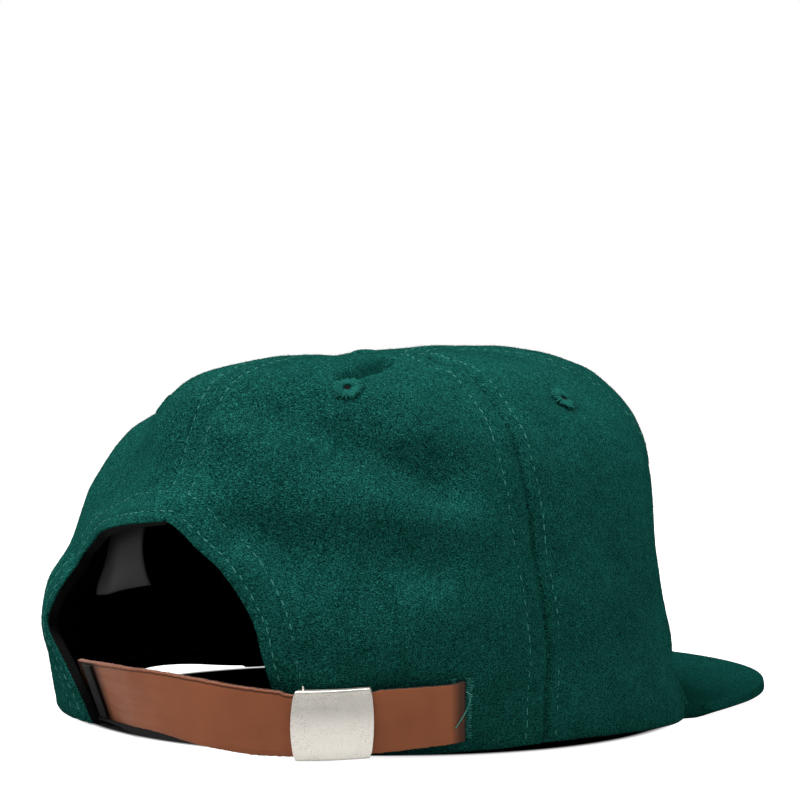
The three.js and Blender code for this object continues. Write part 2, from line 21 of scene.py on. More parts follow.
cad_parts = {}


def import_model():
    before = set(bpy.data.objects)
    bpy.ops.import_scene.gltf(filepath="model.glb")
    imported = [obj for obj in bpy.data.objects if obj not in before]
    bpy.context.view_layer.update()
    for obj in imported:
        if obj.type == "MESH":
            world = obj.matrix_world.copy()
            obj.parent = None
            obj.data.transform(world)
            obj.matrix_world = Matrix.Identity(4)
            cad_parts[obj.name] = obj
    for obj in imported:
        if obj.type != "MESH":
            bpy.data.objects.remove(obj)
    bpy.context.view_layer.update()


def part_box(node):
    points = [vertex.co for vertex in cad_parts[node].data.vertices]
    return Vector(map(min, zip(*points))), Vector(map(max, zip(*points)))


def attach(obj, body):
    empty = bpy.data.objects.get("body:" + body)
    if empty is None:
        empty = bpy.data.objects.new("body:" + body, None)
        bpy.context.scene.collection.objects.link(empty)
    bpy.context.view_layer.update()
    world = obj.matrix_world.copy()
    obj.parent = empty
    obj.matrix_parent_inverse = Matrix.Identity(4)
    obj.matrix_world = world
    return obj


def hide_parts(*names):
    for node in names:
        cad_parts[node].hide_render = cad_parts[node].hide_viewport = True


Array = np.ndarray
Colour = tuple[float, float, float]
Place = Callable[[Array, Array], Array]
Shape = bmesh.types.BMesh
Mesh = bpy.types.Mesh
Piece = bpy.types.Object
Material = bpy.types.Material
Socket = bpy.types.NodeSocket

log = logging.getLogger("cap")

BODY = "root"
WEAVE_MAP = "weave"
# One millimetre in metres, and one square metre in square millimetres.
MM = 0.001
SQUARE_MM = 1e6
# Height of the crown's middle, from which faces are turned out.
MIDDLE_HEIGHT = 45.0
# Largest phase of a wave, and the angle in degrees from which an edge is bevelled.
FULL_PHASE = 6.28
SHARP_ANGLE = 50.0


class Hand(Enum):
    """Side of the wearer that a piece is on, with the sign of its turns."""

    RIGHT = 1
    LEFT = -1

    @property
    def word(self) -> str:
        """Name of the side as the frame's nodes spell it."""
        return self.name.lower()


class Ring(Enum):
    """Place of a crown panel, from the rear to the front."""

    BACK = "back"
    SIDE = "side"
    FRONT = "front"


class Seam(Enum):
    """Seam between two panels, with its place in the tables of seams."""

    FRONT = 0
    FRONT_SIDE = 1
    REAR_SIDE = 2
    REAR = 3


@dataclass(frozen=True)
class Section:
    """Plan of the crown at one level: half-lengths and how square each half is."""

    level: float
    height: float
    front: float
    side: float
    rear: float
    square_front: float
    square_rear: float


@dataclass(frozen=True)
class Opening:
    """Half-widths of the rear opening at one height."""

    height: float
    right: float
    left: float


@dataclass(frozen=True)
class Fold:
    """Dent or fold laid from one place to another, with its width and its depth along the outward normal."""

    start: tuple[float, float]
    end: tuple[float, float]
    width: float
    depth: float


@dataclass(frozen=True)
class StrapRow:
    """Place on the strap: its top edge's distance from the crown, and its lower edge's tuck and height."""

    turn: float
    out: float
    tuck: float
    low: float
    wide: float


@dataclass(frozen=True)
class RimLift:
    """Place where the rim lifts off the floor: its turn, how far round it reaches, and its rise."""

    turn: float
    width: float
    rise: float


SECTIONS = (
    Section(0, 0, 88, 93, 82, 2.33, 2.25),
    Section(0.072, 14.1, 82.4, 93.4, 86, 2.1, 2.25),
    Section(0.144, 26.1, 78.8, 94.4, 89.2, 1.9, 2.25),
    Section(0.216, 38.1, 77.6, 93.2, 89.5, 1.8, 2.15),
    Section(0.288, 50.1, 79.4, 89.8, 87.5, 1.84, 2),
    Section(0.36, 62.2, 82.2, 87, 83, 1.9, 2),
    Section(0.435, 74.4, 84, 83.3, 76.5, 2, 2),
    Section(0.507, 84.8, 83.5, 76.8, 73, 2, 2),
    Section(0.59, 94, 79.5, 65.8, 66, 2, 2),
    Section(0.667, 99.8, 73, 55, 57, 2, 2),
    Section(0.766, 103.6, 60, 39, 43, 2, 2),
    Section(0.868, 105.3, 37, 22, 25, 2, 2),
    Section(1, 105.8, 0, 0, 0, 2, 2),
)

OPENINGS = (
    Opening(0, 36, 36),
    Opening(11, 37, 42),
    Opening(19, 36.4, 50),
    Opening(27, 35.4, 57.5),
    Opening(34, 33.4, 54.5),
    Opening(42, 28, 51),
    Opening(49, 20.5, 50.5),
    Opening(53.5, 12.8, 43),
    Opening(57, 7.4, 35),
    Opening(59.2, 2.9, 19.5),
    Opening(60.2, 0, 0),
)

FOLDS = (
    Fold((0, 0.97), (180, 0.97), 13, -6.5),
    Fold((-148, 0.45), (-121, 0.66), 26, -9.2),
    Fold((-150, 0.27), (-126, 0.3), 9, -1.7),
    Fold((-95, 0.8), (-52, 0.84), 16, -1.8),
    Fold((161, 0.56), (128, 0.44), 9, -3),
    Fold((158, 0.49), (124, 0.37), 9, 1.6),
    Fold((164, 0.36), (142, 0.24), 8, -2.2),
    Fold((154, 0.29), (150, 0.16), 7, -1.6),
    Fold((182, 0.5), (182, 0.44), 10, -2),
    Fold((72, 0.38), (69, 0.16), 10, 0.8),
    Fold((61, 0.1), (58, 0.4), 13, -2.2),
)

PINCHES = (
    Fold((146, 0.662), (139, 0.698), 2.3, -4.6),
    Fold((139, 0.698), (132, 0.775), 2.4, -5.4),
    Fold((160, 0.530), (126, 0.405), 7.5, -2.8),
    Fold((163, 0.345), (128, 0.295), 6.5, -2.4),
    Fold((120, 0.700), (112, 0.765), 5.0, -1.0),
    Fold((-143, 0.262), (-138, 0.285), 2.2, -1.6),
)

STRAP_ROWS = (
    StrapRow(210, -5.8, 5.4, 1.2, 16.4),
    StrapRow(206, -5.7, 5.4, 1.4, 16.4),
    StrapRow(201, -4.9, 5.5, 1.8, 16.5),
    StrapRow(195, -3.4, 4.2, 2.5, 16.4),
    StrapRow(187, -1, 2, 3.3, 16.1),
    StrapRow(178, 1.2, 0.6, 3.5, 16.4),
    StrapRow(168, 3, 0, 2.1, 17.4),
    StrapRow(158, 3.6, 0, 1, 17.3),
    StrapRow(153.8, 3.45, 0, 1.05, 16.8),
    StrapRow(152, 3.38, 0, 1.1, 16),
    StrapRow(145, 3, 0, 1.7, 15.9),
    StrapRow(139, 2.5, 0, 2.5, 15.8),
    StrapRow(137.4, 2.35, 0, 2.7, 16.2),
    StrapRow(131, 1.9, 0, 3.9, 15.6),
    StrapRow(127.6, 1.8, 0, 4.5, 15.3),
    StrapRow(125.8, 1.5, 0, 4.9, 15.3),
    StrapRow(125.1, 0.4, 0, 5, 15.3),
    StrapRow(125, -3, 0, 5, 15.3),
    StrapRow(125, -7, 0, 5, 15.3),
)

RIM_LIFTS = (
    RimLift(106, 22, 2.2),
    RimLift(-86, 16, 3.2),
)


def blend_step(x: Array, low: float, high: float) -> Array:
    """Smooth step from 0 at low to 1 at high."""
    s = np.clip((x - low) / (high - low), 0, 1)
    return s * s * (3 - 2 * s)


def mix(a: Array, b: Array, share: Array) -> Array:
    """Straight mix of a and b."""
    return a + (b - a) * share


def unit(v: Array) -> Array:
    """Vectors of length 1 along v."""
    return v / np.maximum(np.linalg.norm(v, axis=-1, keepdims=True), 1e-12)


@dataclass(frozen=True)
class Column:
    """Smooth curve through one column of a table whose rows rise along the key."""

    keys: Array
    values: Array

    def at(self, x: Array) -> Array:
        """Value of the curve.

        Args:
            x: Places along the key.

        Returns:
            The values there.
        """
        k, v = self.keys, self.values
        last = len(k) - 1
        after = np.minimum(np.arange(last + 1) + 1, last)
        before = np.maximum(np.arange(last + 1) - 1, 0)
        slope = (v[after] - v[before]) / (k[after] - k[before])
        x = np.asarray(x, float)
        i = np.clip(np.searchsorted(k, x, side="left") - 1, 0, last - 1)
        wide = k[i + 1] - k[i]
        s = (x - k[i]) / wide
        h = s * s * (3 - 2 * s)
        lead = s * (1 - s) ** 2 * wide * slope[i]
        trail = s * s * (s - 1) * wide * slope[i + 1]
        return v[i] * (1 - h) + v[i + 1] * h + lead + trail


def lengths_along(points: Array) -> Array:
    """Length run along a line at each of its points."""
    return np.concatenate([[0], np.cumsum(np.linalg.norm(np.diff(points, axis=0), axis=1))])


def column(rows: Sequence, key: str, name: str) -> Column:
    """Curve of one named column of a table of rows.

    Args:
        rows: The table.
        key: Column that the rows rise along.
        name: Column of the values.

    Returns:
        The curve.
    """
    return Column(
        np.array([getattr(r, key) for r in rows], float),
        np.array([getattr(r, name) for r in rows], float),
    )


def distance_to(line: Array, points: Array) -> Array:
    """Distance from points to a line of short chords.

    Args:
        line: Points of the line, one a row.
        points: Places to measure from.

    Returns:
        The distance of each place.
    """
    nearest = np.full(points.shape[:-1], np.inf)
    for a, b in zip(line[:-1], line[1:]):
        chord = b - a
        share = np.clip(((points - a) @ chord) / max(chord @ chord, 1e-9), 0, 1)
        foot = a + share[..., None] * chord
        nearest = np.minimum(nearest, np.linalg.norm(points - foot, axis=-1))
    return nearest


@dataclass
class Crown:
    """Shape of the crown's outer face, with its seams, folds and hem."""

    top: float = 0.975
    last_level: float = 0.999
    lean: float = 0.045
    lift_top: float = 0.3
    probe_turn: float = 0.5
    probe_level: float = 0.004
    probe_top: float = 0.985
    upright_to: float = 0.02
    front_seam: tuple[float, float] = (62, 56)
    side_seam: float = 110
    seam_width: float = 2.6
    seam_depth: float = -0.9
    seam_fade: tuple[float, float] = (1, 12)
    wool: float = 2.2
    hem: float = 3.3
    hem_reach: float = 12
    crease_width: float = 0.45
    crease_depths: tuple[float, ...] = (-0.5, -1.0, -1.6, -0.25)
    crease_fade_top: tuple[float, float] = (6, 16)
    crease_fade_hem: tuple[float, float] = (2, 10)
    valley_shares: tuple[float, ...] = (0.5, 0.5, 0.5, 0.3)
    stitch_lines: tuple[tuple[float, float], ...] = ((4.2, 4.2), (4.2, 4.2), (5.8, 3.7), (4.2, 4.2))
    stitch_dip: float = -0.32
    stitch_dip_width: float = 0.9
    stitch_fade: tuple[float, float] = (-3, 2)
    stitch_floor: float = 1.5
    hem_lines: tuple[float, float] = (3.2, 9.4)
    hem_roll: float = -0.5
    hem_roll_width: float = 1.2
    hem_fade: float = 4
    slot_turn: float = 125.0
    slot_dip: float = -1.4
    slot_dip_width: float = 1.2
    slot_heights: tuple[float, float] = (5.0, 20.5)
    wave_lengths: tuple[float, ...] = (13, 17, 22, 27, 33, 41)
    wave_depth: float = 0.085
    wave_seed: int = 11
    fold_points: int = 13
    edge_points: int = 41
    level_points: int = 2001
    edge_rounds: int = 8
    locate_rounds: int = 4
    columns: dict[str, Column] = field(init=False)
    halves: dict[Hand, Column] = field(init=False)
    levels: Array = field(init=False)
    heights: Array = field(init=False)
    folds: list[tuple[Array, Fold]] = field(init=False)
    pinches: list[tuple[Array, Fold]] = field(init=False)
    waves: list[tuple[Array, float]] = field(init=False)
    edge: Array = field(init=False)

    def __post_init__(self) -> None:
        """Sets up the curves, the fold lines, the cloth's slow waves and the line of the rear opening."""
        names = ("height", "front", "side", "rear", "square_front", "square_rear")
        self.columns = {n: column(SECTIONS, "level", n) for n in names}
        self.halves = {h: column(OPENINGS, "height", h.word) for h in Hand}
        self.levels = np.linspace(0, 1, self.level_points)
        self.heights = self.columns["height"].at(self.levels)
        self.folds, self.pinches = self.laid(FOLDS), self.laid(PINCHES)
        rng = np.random.default_rng(self.wave_seed)
        self.waves = []
        for length in self.wave_lengths:
            for _ in range(2):
                way = unit(rng.normal(size=3)) * 2 * math.pi / length
                self.waves.append((way, rng.uniform(0, FULL_PHASE)))
        rows = np.linspace(0, 0.5, self.edge_points)
        right = self.plain(*self.rear_edge(rows, Hand.RIGHT))
        turn, level = self.rear_edge(rows, Hand.LEFT)
        left = self.plain(-turn, level)
        self.edge = np.concatenate([left, right[::-1]])

    def laid(self, table: Sequence[Fold]) -> list[tuple[Array, Fold]]:
        """Folds of a table, each with its line laid on the plain crown.

        Args:
            table: The folds.

        Returns:
            A line of points and its fold, for each row.
        """
        share = np.linspace(0, 1, self.fold_points)
        out = []
        for fold in table:
            turns = mix(fold.start[0], fold.end[0], share)
            levels = mix(fold.start[1], fold.end[1], share)
            out.append((self.plain(turns, levels), fold))
        return out

    def level_at(self, height: Array) -> Array:
        """Level at a height."""
        return np.interp(height, self.heights, self.levels)

    def reach(self, turn: Array, level: Array) -> Array:
        """Distance from the middle of the crown to its plain surface.

        Args:
            turn: Turns.
            level: Levels.

        Returns:
            The distances.
        """
        c, s = np.cos(np.radians(turn)), np.abs(np.sin(np.radians(turn)))
        col = {n: c_.at(level) for n, c_ in self.columns.items()}
        n = np.where(c > 0, col["square_front"], col["square_rear"])
        ahead = np.where(c > 0, col["front"], col["rear"])
        return ((np.abs(c) / ahead) ** n + (s / col["side"]) ** n) ** (-1 / n)

    def plain(self, turn: Array, level: Array) -> Array:
        """Points of the plain crown, before folds.

        Args:
            turn: Turns.
            level: Levels.

        Returns:
            The points.
        """
        turn, level = np.broadcast_arrays(np.asarray(turn, float), np.asarray(level, float))
        safe = np.minimum(level, self.last_level)
        r = self.reach(turn, safe)
        x = -r * np.sin(np.radians(turn))
        y = -r * np.cos(np.radians(turn))
        z = self.columns["height"].at(safe) - self.lean * y * safe * safe + self.rim_lift(turn, safe)
        return np.stack([x, y, z], -1)

    def rim_lift(self, turn: Array, level: Array) -> Array:
        """Height that the rim's lift adds.

        Args:
            turn: Turns.
            level: Levels.

        Returns:
            The heights.
        """
        fade = np.clip(1 - level / self.lift_top, 0, 1) ** 2
        total = np.zeros(np.shape(turn))
        for lift in RIM_LIFTS:
            share = (np.mod(turn - lift.turn + 540, 360) - 180) / lift.width
            total = total + lift.rise * np.exp(-share * share)
        return total * fade

    def outward(self, turn: Array, level: Array) -> Array:
        """Outward direction of the plain crown.

        Args:
            turn: Turns.
            level: Levels.

        Returns:
            A direction of length 1 for each place.
        """
        step, rise = self.probe_turn, self.probe_level
        turn, level = np.broadcast_arrays(np.asarray(turn, float), np.asarray(level, float))
        base = np.clip(level, rise, self.probe_top)
        across = self.plain(turn + step, base) - self.plain(turn - step, base)
        up = self.plain(turn, base + rise) - self.plain(turn, base - rise)
        n = unit(np.cross(up, across))
        n[..., 2] = np.where(level < self.upright_to, 0, n[..., 2])
        return unit(n)

    def seam_turns(self, level: Array) -> tuple[Array, ...]:
        """Turns of the seams, as on the wearer's right.

        Args:
            level: Levels of the places.

        Returns:
            The turns of each seam, in the order of Seam.
        """
        level = np.asarray(level, float)
        front = mix(self.front_seam[0], self.front_seam[1], level)
        return np.zeros_like(level), front, np.full_like(level, self.side_seam), np.full_like(level, 180.0)

    def relief(self, turn: Array, level: Array, p: Array, fine: bool) -> Array:
        """How far the cloth stands out from the plain crown.

        Args:
            turn: Turns.
            level: Levels.
            p: Points on the plain crown.
            fine: True adds the creases, stitch lines and slow waves that only the looks have.

        Returns:
            The distance out along the normal.
        """
        out = np.zeros(p.shape[:-1])
        for line, fold in self.folds:
            share = distance_to(line, p) / fold.width
            out += fold.depth * np.exp(-share * share)
        if fine:
            out += self.dents(p)
        r = np.hypot(p[..., 0], p[..., 1])
        folded = np.abs(np.mod(np.mod(turn, 360) + 540, 360) - 180)
        edge = distance_to(self.edge, p)
        free = blend_step(edge, *(self.hem_lines[1] + fade for fade in self.stitch_fade))
        seams = zip(self.seam_turns(level), self.crease_depths, self.valley_shares, self.stitch_lines)
        for at, crease, valley, lines in seams:
            signed = r * np.radians(folded - at)
            away = np.abs(signed)
            share = (valley * blend_step(edge, *self.seam_fade)) if fine else 1.0
            out += self.seam_depth * share * np.exp(-((away / self.seam_width) ** 2))
            if fine:
                low = blend_step(r, *self.crease_fade_top) * blend_step(edge, *self.crease_fade_hem)
                out += crease * low * np.exp(-((away / self.crease_width) ** 2))
                near_line = np.abs(away - np.where(signed > 0, lines[0], lines[1]))
                dip = np.exp(-((near_line / self.stitch_dip_width) ** 2))
                out += self.stitch_dip * low * free * dip
        if fine:
            out += self.hem_relief(p) + self.slot_relief(turn, p)
            for way, phase in self.waves:
                out += self.wave_depth * np.sin(p @ way + phase)
        return out

    def dents(self, p: Array, spare: float = 0.0) -> Array:
        """Depth of the narrow dents that only the looks have.

        Args:
            p: Points on the plain crown.
            spare: Width added to each dent.

        Returns:
            The depth at each point, zero or less.
        """
        out = np.zeros(p.shape[:-1])
        for line, fold in self.pinches:
            share = distance_to(line, p) / (fold.width + spare)
            out = np.minimum(out, fold.depth * np.exp(-share * share))
        return out

    def hem_relief(self, p: Array) -> Array:
        """Dips along the two rows of stitches round the rear opening, and the roll of its hem.

        Args:
            p: Points on the plain crown.

        Returns:
            The distance out at each point.
        """
        away = distance_to(self.edge, p)
        rows = sum(np.exp(-(((away - line) / self.stitch_dip_width) ** 2)) for line in self.hem_lines)
        return self.stitch_dip * rows + self.hem_roll * np.exp(-((away / self.hem_roll_width) ** 2))

    def slot_relief(self, turn: Array, p: Array) -> Array:
        """Dip of the slit that the strap's end goes into.

        Args:
            turn: Turns of the places.
            p: Points on the plain crown.

        Returns:
            The distance out at each point.
        """
        across = np.hypot(p[..., 0], p[..., 1]) * np.radians(turn - self.slot_turn)
        low, high = self.slot_heights
        tall = blend_step(p[..., 2], low - 1.5, low + 0.5) * (1 - blend_step(p[..., 2], high - 1, high + 1))
        return self.slot_dip * tall * np.exp(-((across / self.slot_dip_width) ** 2))

    def point(self, turn: Array, level: Array, extra: Array = 0.0, fine: bool = True) -> Array:
        """Points of the crown's outer face.

        Args:
            turn: Turns.
            level: Levels.
            extra: Distance that the points are moved out along the normal.
            fine: True adds what only the looks have.

        Returns:
            The points.
        """
        p = self.plain(turn, level)
        out = self.relief(turn, level, p, fine) + extra
        n = self.outward(turn, level)
        moved = p + n * out[..., None]
        rim = self.rim_lift(turn, np.zeros_like(out))
        moved[..., 2] = np.where(np.asarray(level) <= 0, rim, moved[..., 2])
        return moved

    def wall(self, p: Array) -> Array:
        """Cloth thickness, doubled into a hem along the rear opening."""
        away = distance_to(self.edge, p)
        return mix(self.hem, self.wool, blend_step(away, self.hem_reach - self.hem_fade, self.hem_reach))

    def rear_edge(self, share: Array, hand: Hand) -> tuple[Array, Array]:
        """Rear edge of a back panel: up the side of the opening, then up the middle seam.

        Args:
            share: 0 at the rim, 0.5 at the opening's top and 1 at the button.
            hand: Side of the wearer.

        Returns:
            Turn, as on the wearer's right, and level.
        """
        share = np.asarray(share, float)
        high = OPENINGS[-1].height
        height = high * np.sin(np.clip(share * 2, 0, 1) * math.pi / 2)
        half = np.maximum(0, self.halves[hand].at(height))
        low_level = np.where(share <= 0, 0, self.level_at(height))
        turn = np.full_like(share, 180.0)
        for _ in range(self.edge_rounds):
            turn = 180 - np.degrees(np.arcsin(np.clip(half / self.reach(turn, low_level), 0, 1)))
        up = mix(self.level_at(high), self.top, np.clip(share * 2 - 1, 0, 1))
        above = share >= 0.5
        return np.where(above, 180.0, turn), np.where(above, up, low_level)

    def locate(self, p: Array) -> tuple[Array, Array]:
        """Turn and level of points close to the crown's wall.

        Args:
            p: The points.

        Returns:
            Their turns and levels.
        """
        turn = np.degrees(np.arctan2(-p[..., 0], -p[..., 1]))
        level = self.level_at(p[..., 2])
        for _ in range(self.locate_rounds):
            leaning = self.lean * p[..., 1] * level * level
            level = self.level_at(p[..., 2] + leaning - self.rim_lift(turn, level))
        return turn, level

    def off_edge(self, away: float) -> tuple[Array, Array]:
        """Line round the rear opening, off its edge.

        Args:
            away: Distance from the edge.

        Returns:
            Turns and levels of the line.
        """
        turn, level = self.locate(self.edge)
        n = self.outward(turn, level)
        along = unit(np.gradient(self.edge, axis=0))
        side = unit(np.cross(n, along))
        middle = self.edge.mean(axis=0)
        if np.sum(side * (self.edge - middle)) < 0:
            side = -side
        moved = self.edge + side * away
        keep = moved[:, 2] > self.stitch_floor
        return self.locate(moved[keep])


@dataclass
class Frame:
    """The way from the crown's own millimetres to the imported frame's metres."""

    shift: Array = field(init=False)

    def __post_init__(self) -> None:
        """Takes the crown's axis from the button's box."""
        low, high = (np.array(v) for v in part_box("top_button"))
        middle = (low + high) / 2
        self.shift = np.array([middle[0], middle[1], 0.0])

    def metres(self, p: Array) -> Array:
        """Points in metres in the row frame."""
        return p * MM + self.shift


def show(name: str, data: bpy.types.ID) -> Piece:
    """Object of a mesh, a camera or a light, linked to the scene."""
    obj = bpy.data.objects.new(name, data)
    bpy.context.scene.collection.objects.link(obj)
    return obj


class Mesher:
    """Makes mesh objects from operators and numpy arrays."""

    def __init__(self, frame: Frame) -> None:
        """Keeps the frame that every piece is placed in."""
        self.frame = frame
        self.middle = frame.metres(np.array([0.0, 0.0, MIDDLE_HEIGHT]))

    def grid(self, name: str, across: int, along: int, place: Place,
             outside: bool = True) -> Piece:
        """Sheet whose corners are u, v from 0 to 1, laid where a function says.

        Args:
            name: Name of the piece.
            across: Cells along u.
            along: Cells along v.
            place: Function from u and v to points in crown millimetres.
            outside: True turns the faces away from the middle of the crown.

        Returns:
            The new object.
        """
        bm = bmesh.new()
        bm.loops.layers.uv.new(WEAVE_MAP)
        bmesh.ops.create_grid(bm, x_segments=across, y_segments=along, size=0.5, calc_uvs=True)
        obj = self.link(name, bm)
        mesh = obj.data
        co = self.read(mesh)
        self.write(mesh, self.frame.metres(place(co[:, 0] + 0.5, co[:, 1] + 0.5)))
        if outside:
            self.face_out(mesh, self.middle)
        return obj

    @staticmethod
    def link(name: str, bm: Shape) -> Piece:
        """Object of a bmesh, linked to the scene with smooth faces.

        Args:
            name: Name of the piece.
            bm: Its shape; it is freed.

        Returns:
            The new object.
        """
        mesh = bpy.data.meshes.new(name)
        bm.to_mesh(mesh)
        bm.free()
        mesh.shade_smooth()
        return show(name, mesh)

    @staticmethod
    def read(mesh: Mesh) -> Array:
        """Vertex places of a mesh."""
        flat = np.empty(len(mesh.vertices) * 3)
        mesh.vertices.foreach_get("co", flat)
        return flat.reshape(-1, 3)

    @staticmethod
    def write(mesh: Mesh, co: Array) -> None:
        """Moves the vertices of a mesh."""
        mesh.vertices.foreach_set("co", np.ascontiguousarray(co, dtype=np.float32).ravel())
        mesh.update()

    @staticmethod
    def face_out(mesh: Mesh, middle: Array) -> None:
        """Turns all faces of an open sheet away from a point.

        Args:
            mesh: The sheet.
            middle: The point, in metres.
        """
        count = len(mesh.polygons)
        normals, centres = np.empty(count * 3), np.empty(count * 3)
        mesh.polygons.foreach_get("normal", normals)
        mesh.polygons.foreach_get("center", centres)
        away = centres.reshape(-1, 3) - middle
        if np.sum(normals.reshape(-1, 3) * away) < 0:
            mesh.flip_normals()

    def copies(self, name: str, shape: Shape, places: Array) -> Piece:
        """One joined mesh of many copies of a small shape.

        Args:
            name: Name of the piece.
            shape: The small shape, in millimetres; it is freed.
            places: A 3 by 4 matrix for each copy, to metres in the row frame.

        Returns:
            The new object.
        """
        seed = bpy.data.meshes.new(f"{name}_seed")
        shape.to_mesh(seed)
        shape.free()
        co = self.read(seed)
        loops = np.empty(len(seed.loops), int)
        seed.loops.foreach_get("vertex_index", loops)
        starts, totals = np.empty(len(seed.polygons), int), np.empty(len(seed.polygons), int)
        seed.polygons.foreach_get("loop_start", starts)
        seed.polygons.foreach_get("loop_total", totals)
        n = len(places)
        points = np.einsum("nij,kj->nki", places[:, :, :3], co) + places[:, None, :, 3]
        mesh = bpy.data.meshes.new(name)
        mesh.vertices.add(n * len(co))
        mesh.loops.add(n * len(loops))
        mesh.polygons.add(n * len(starts))
        step = np.arange(n)[:, None]
        mesh.vertices.foreach_set("co", points.astype(np.float32).ravel())
        mesh.loops.foreach_set("vertex_index", (loops + step * len(co)).astype(np.int32).ravel())
        mesh.polygons.foreach_set("loop_start", (starts + step * len(loops)).astype(np.int32).ravel())
        mesh.polygons.foreach_set("loop_total", np.tile(totals, n).astype(np.int32))
        mesh.update(calc_edges=True)
        mesh.validate()
        mesh.shade_smooth()
        bpy.data.meshes.remove(seed)
        return show(name, mesh)


def frames_at(origin: Array, along: Array, up: Array, scale: Array) -> Array:
    """Placing matrices from origins and axes.

    Args:
        origin: Places in metres.
        along: Directions of the shape's x axis.
        up: Directions near the shape's z axis.
        scale: Scale along x, y and z, for shapes in millimetres.

    Returns:
        A 3 by 4 matrix for each place.
    """
    x = unit(along)
    y = unit(np.cross(up, x))
    z = np.cross(x, y)
    out = np.empty((len(origin), 3, 4))
    for i, axis in enumerate((x, y, z)):
        out[:, :, i] = axis * (scale[:, i : i + 1] * MM)
    out[:, :, 3] = origin
    return out


def spindle(sides: int = 6, rings: int = 6, sag: float = 0.0) -> Shape:
    """Closed spindle along x from -1 to 1 with a radius of 1.

    Args:
        sides: Faces round it.
        rings: Faces from end to end.
        sag: How far its ends are bent down.

    Returns:
        The new shape.
    """
    bm = bmesh.new()
    bmesh.ops.create_uvsphere(bm, u_segments=sides, v_segments=rings, radius=1.0)
    bmesh.ops.rotate(bm, verts=bm.verts, cent=(0, 0, 0), matrix=Matrix.Rotation(math.pi / 2, 3, "Y"))
    for v in bm.verts:
        v.co.z -= sag * v.co.x**2
    return bm


def hair() -> Shape:
    """Closed three-sided fibre along x from 0 to 1, tapering to its tip."""
    bm = bmesh.new()
    bmesh.ops.create_cone(bm, cap_ends=True, segments=3, radius1=1.0, radius2=0.0, depth=1.0)
    bmesh.ops.remove_doubles(bm, verts=bm.verts, dist=1e-6)
    bmesh.ops.rotate(bm, verts=bm.verts, cent=(0, 0, 0), matrix=Matrix.Rotation(math.pi / 2, 3, "Y"))
    bmesh.ops.translate(bm, verts=bm.verts, vec=(0.5, 0, 0))
    bmesh.ops.recalc_face_normals(bm, faces=bm.faces)
    return bm


def thicken(obj: Piece, thick: float, group: str = "", inside: int = 0) -> None:
    """Gives a sheet its thickness, inward from its faces.

    Args:
        obj: The sheet.
        thick: Thickness in metres.
        group: Vertex group whose weights scale the thickness, if any.
        inside: How many finishes further down the list the inner face and the rim take theirs.
    """
    mod = obj.modifiers.new("thickness", "SOLIDIFY")
    mod.thickness = thick
    mod.offset = -1
    mod.material_offset = inside
    mod.material_offset_rim = inside
    if group:
        mod.vertex_group = group
        mod.thickness_vertex_group = 0.0


def round_off(obj: Piece, levels: int = 1) -> None:
    """Rounds a closed piece with a subdivision surface.

    Args:
        obj: The piece.
        levels: Times that its faces are divided.
    """
    mod = obj.modifiers.new("rounding", "SUBSURF")
    mod.levels = levels
    mod.render_levels = levels


def soften(obj: Piece, width: float, segments: int = 2) -> None:
    """Bevels the sharp edges of a piece.

    Args:
        obj: The piece.
        width: Width of the bevel in metres.
        segments: Faces across the bevel.
    """
    mod = obj.modifiers.new("edges", "BEVEL")
    mod.width = width
    mod.segments = segments
    mod.limit_method = "ANGLE"
    mod.angle_limit = math.radians(SHARP_ANGLE)


def weigh(obj: Piece, name: str, weights: Array) -> None:
    """Gives a piece a vertex group.

    Args:
        obj: The piece.
        name: Name of the group.
        weights: A weight for each vertex.
    """
    group = obj.vertex_groups.new(name=name)
    for index, weight in enumerate(weights):
        group.add([index], float(weight), "REPLACE")


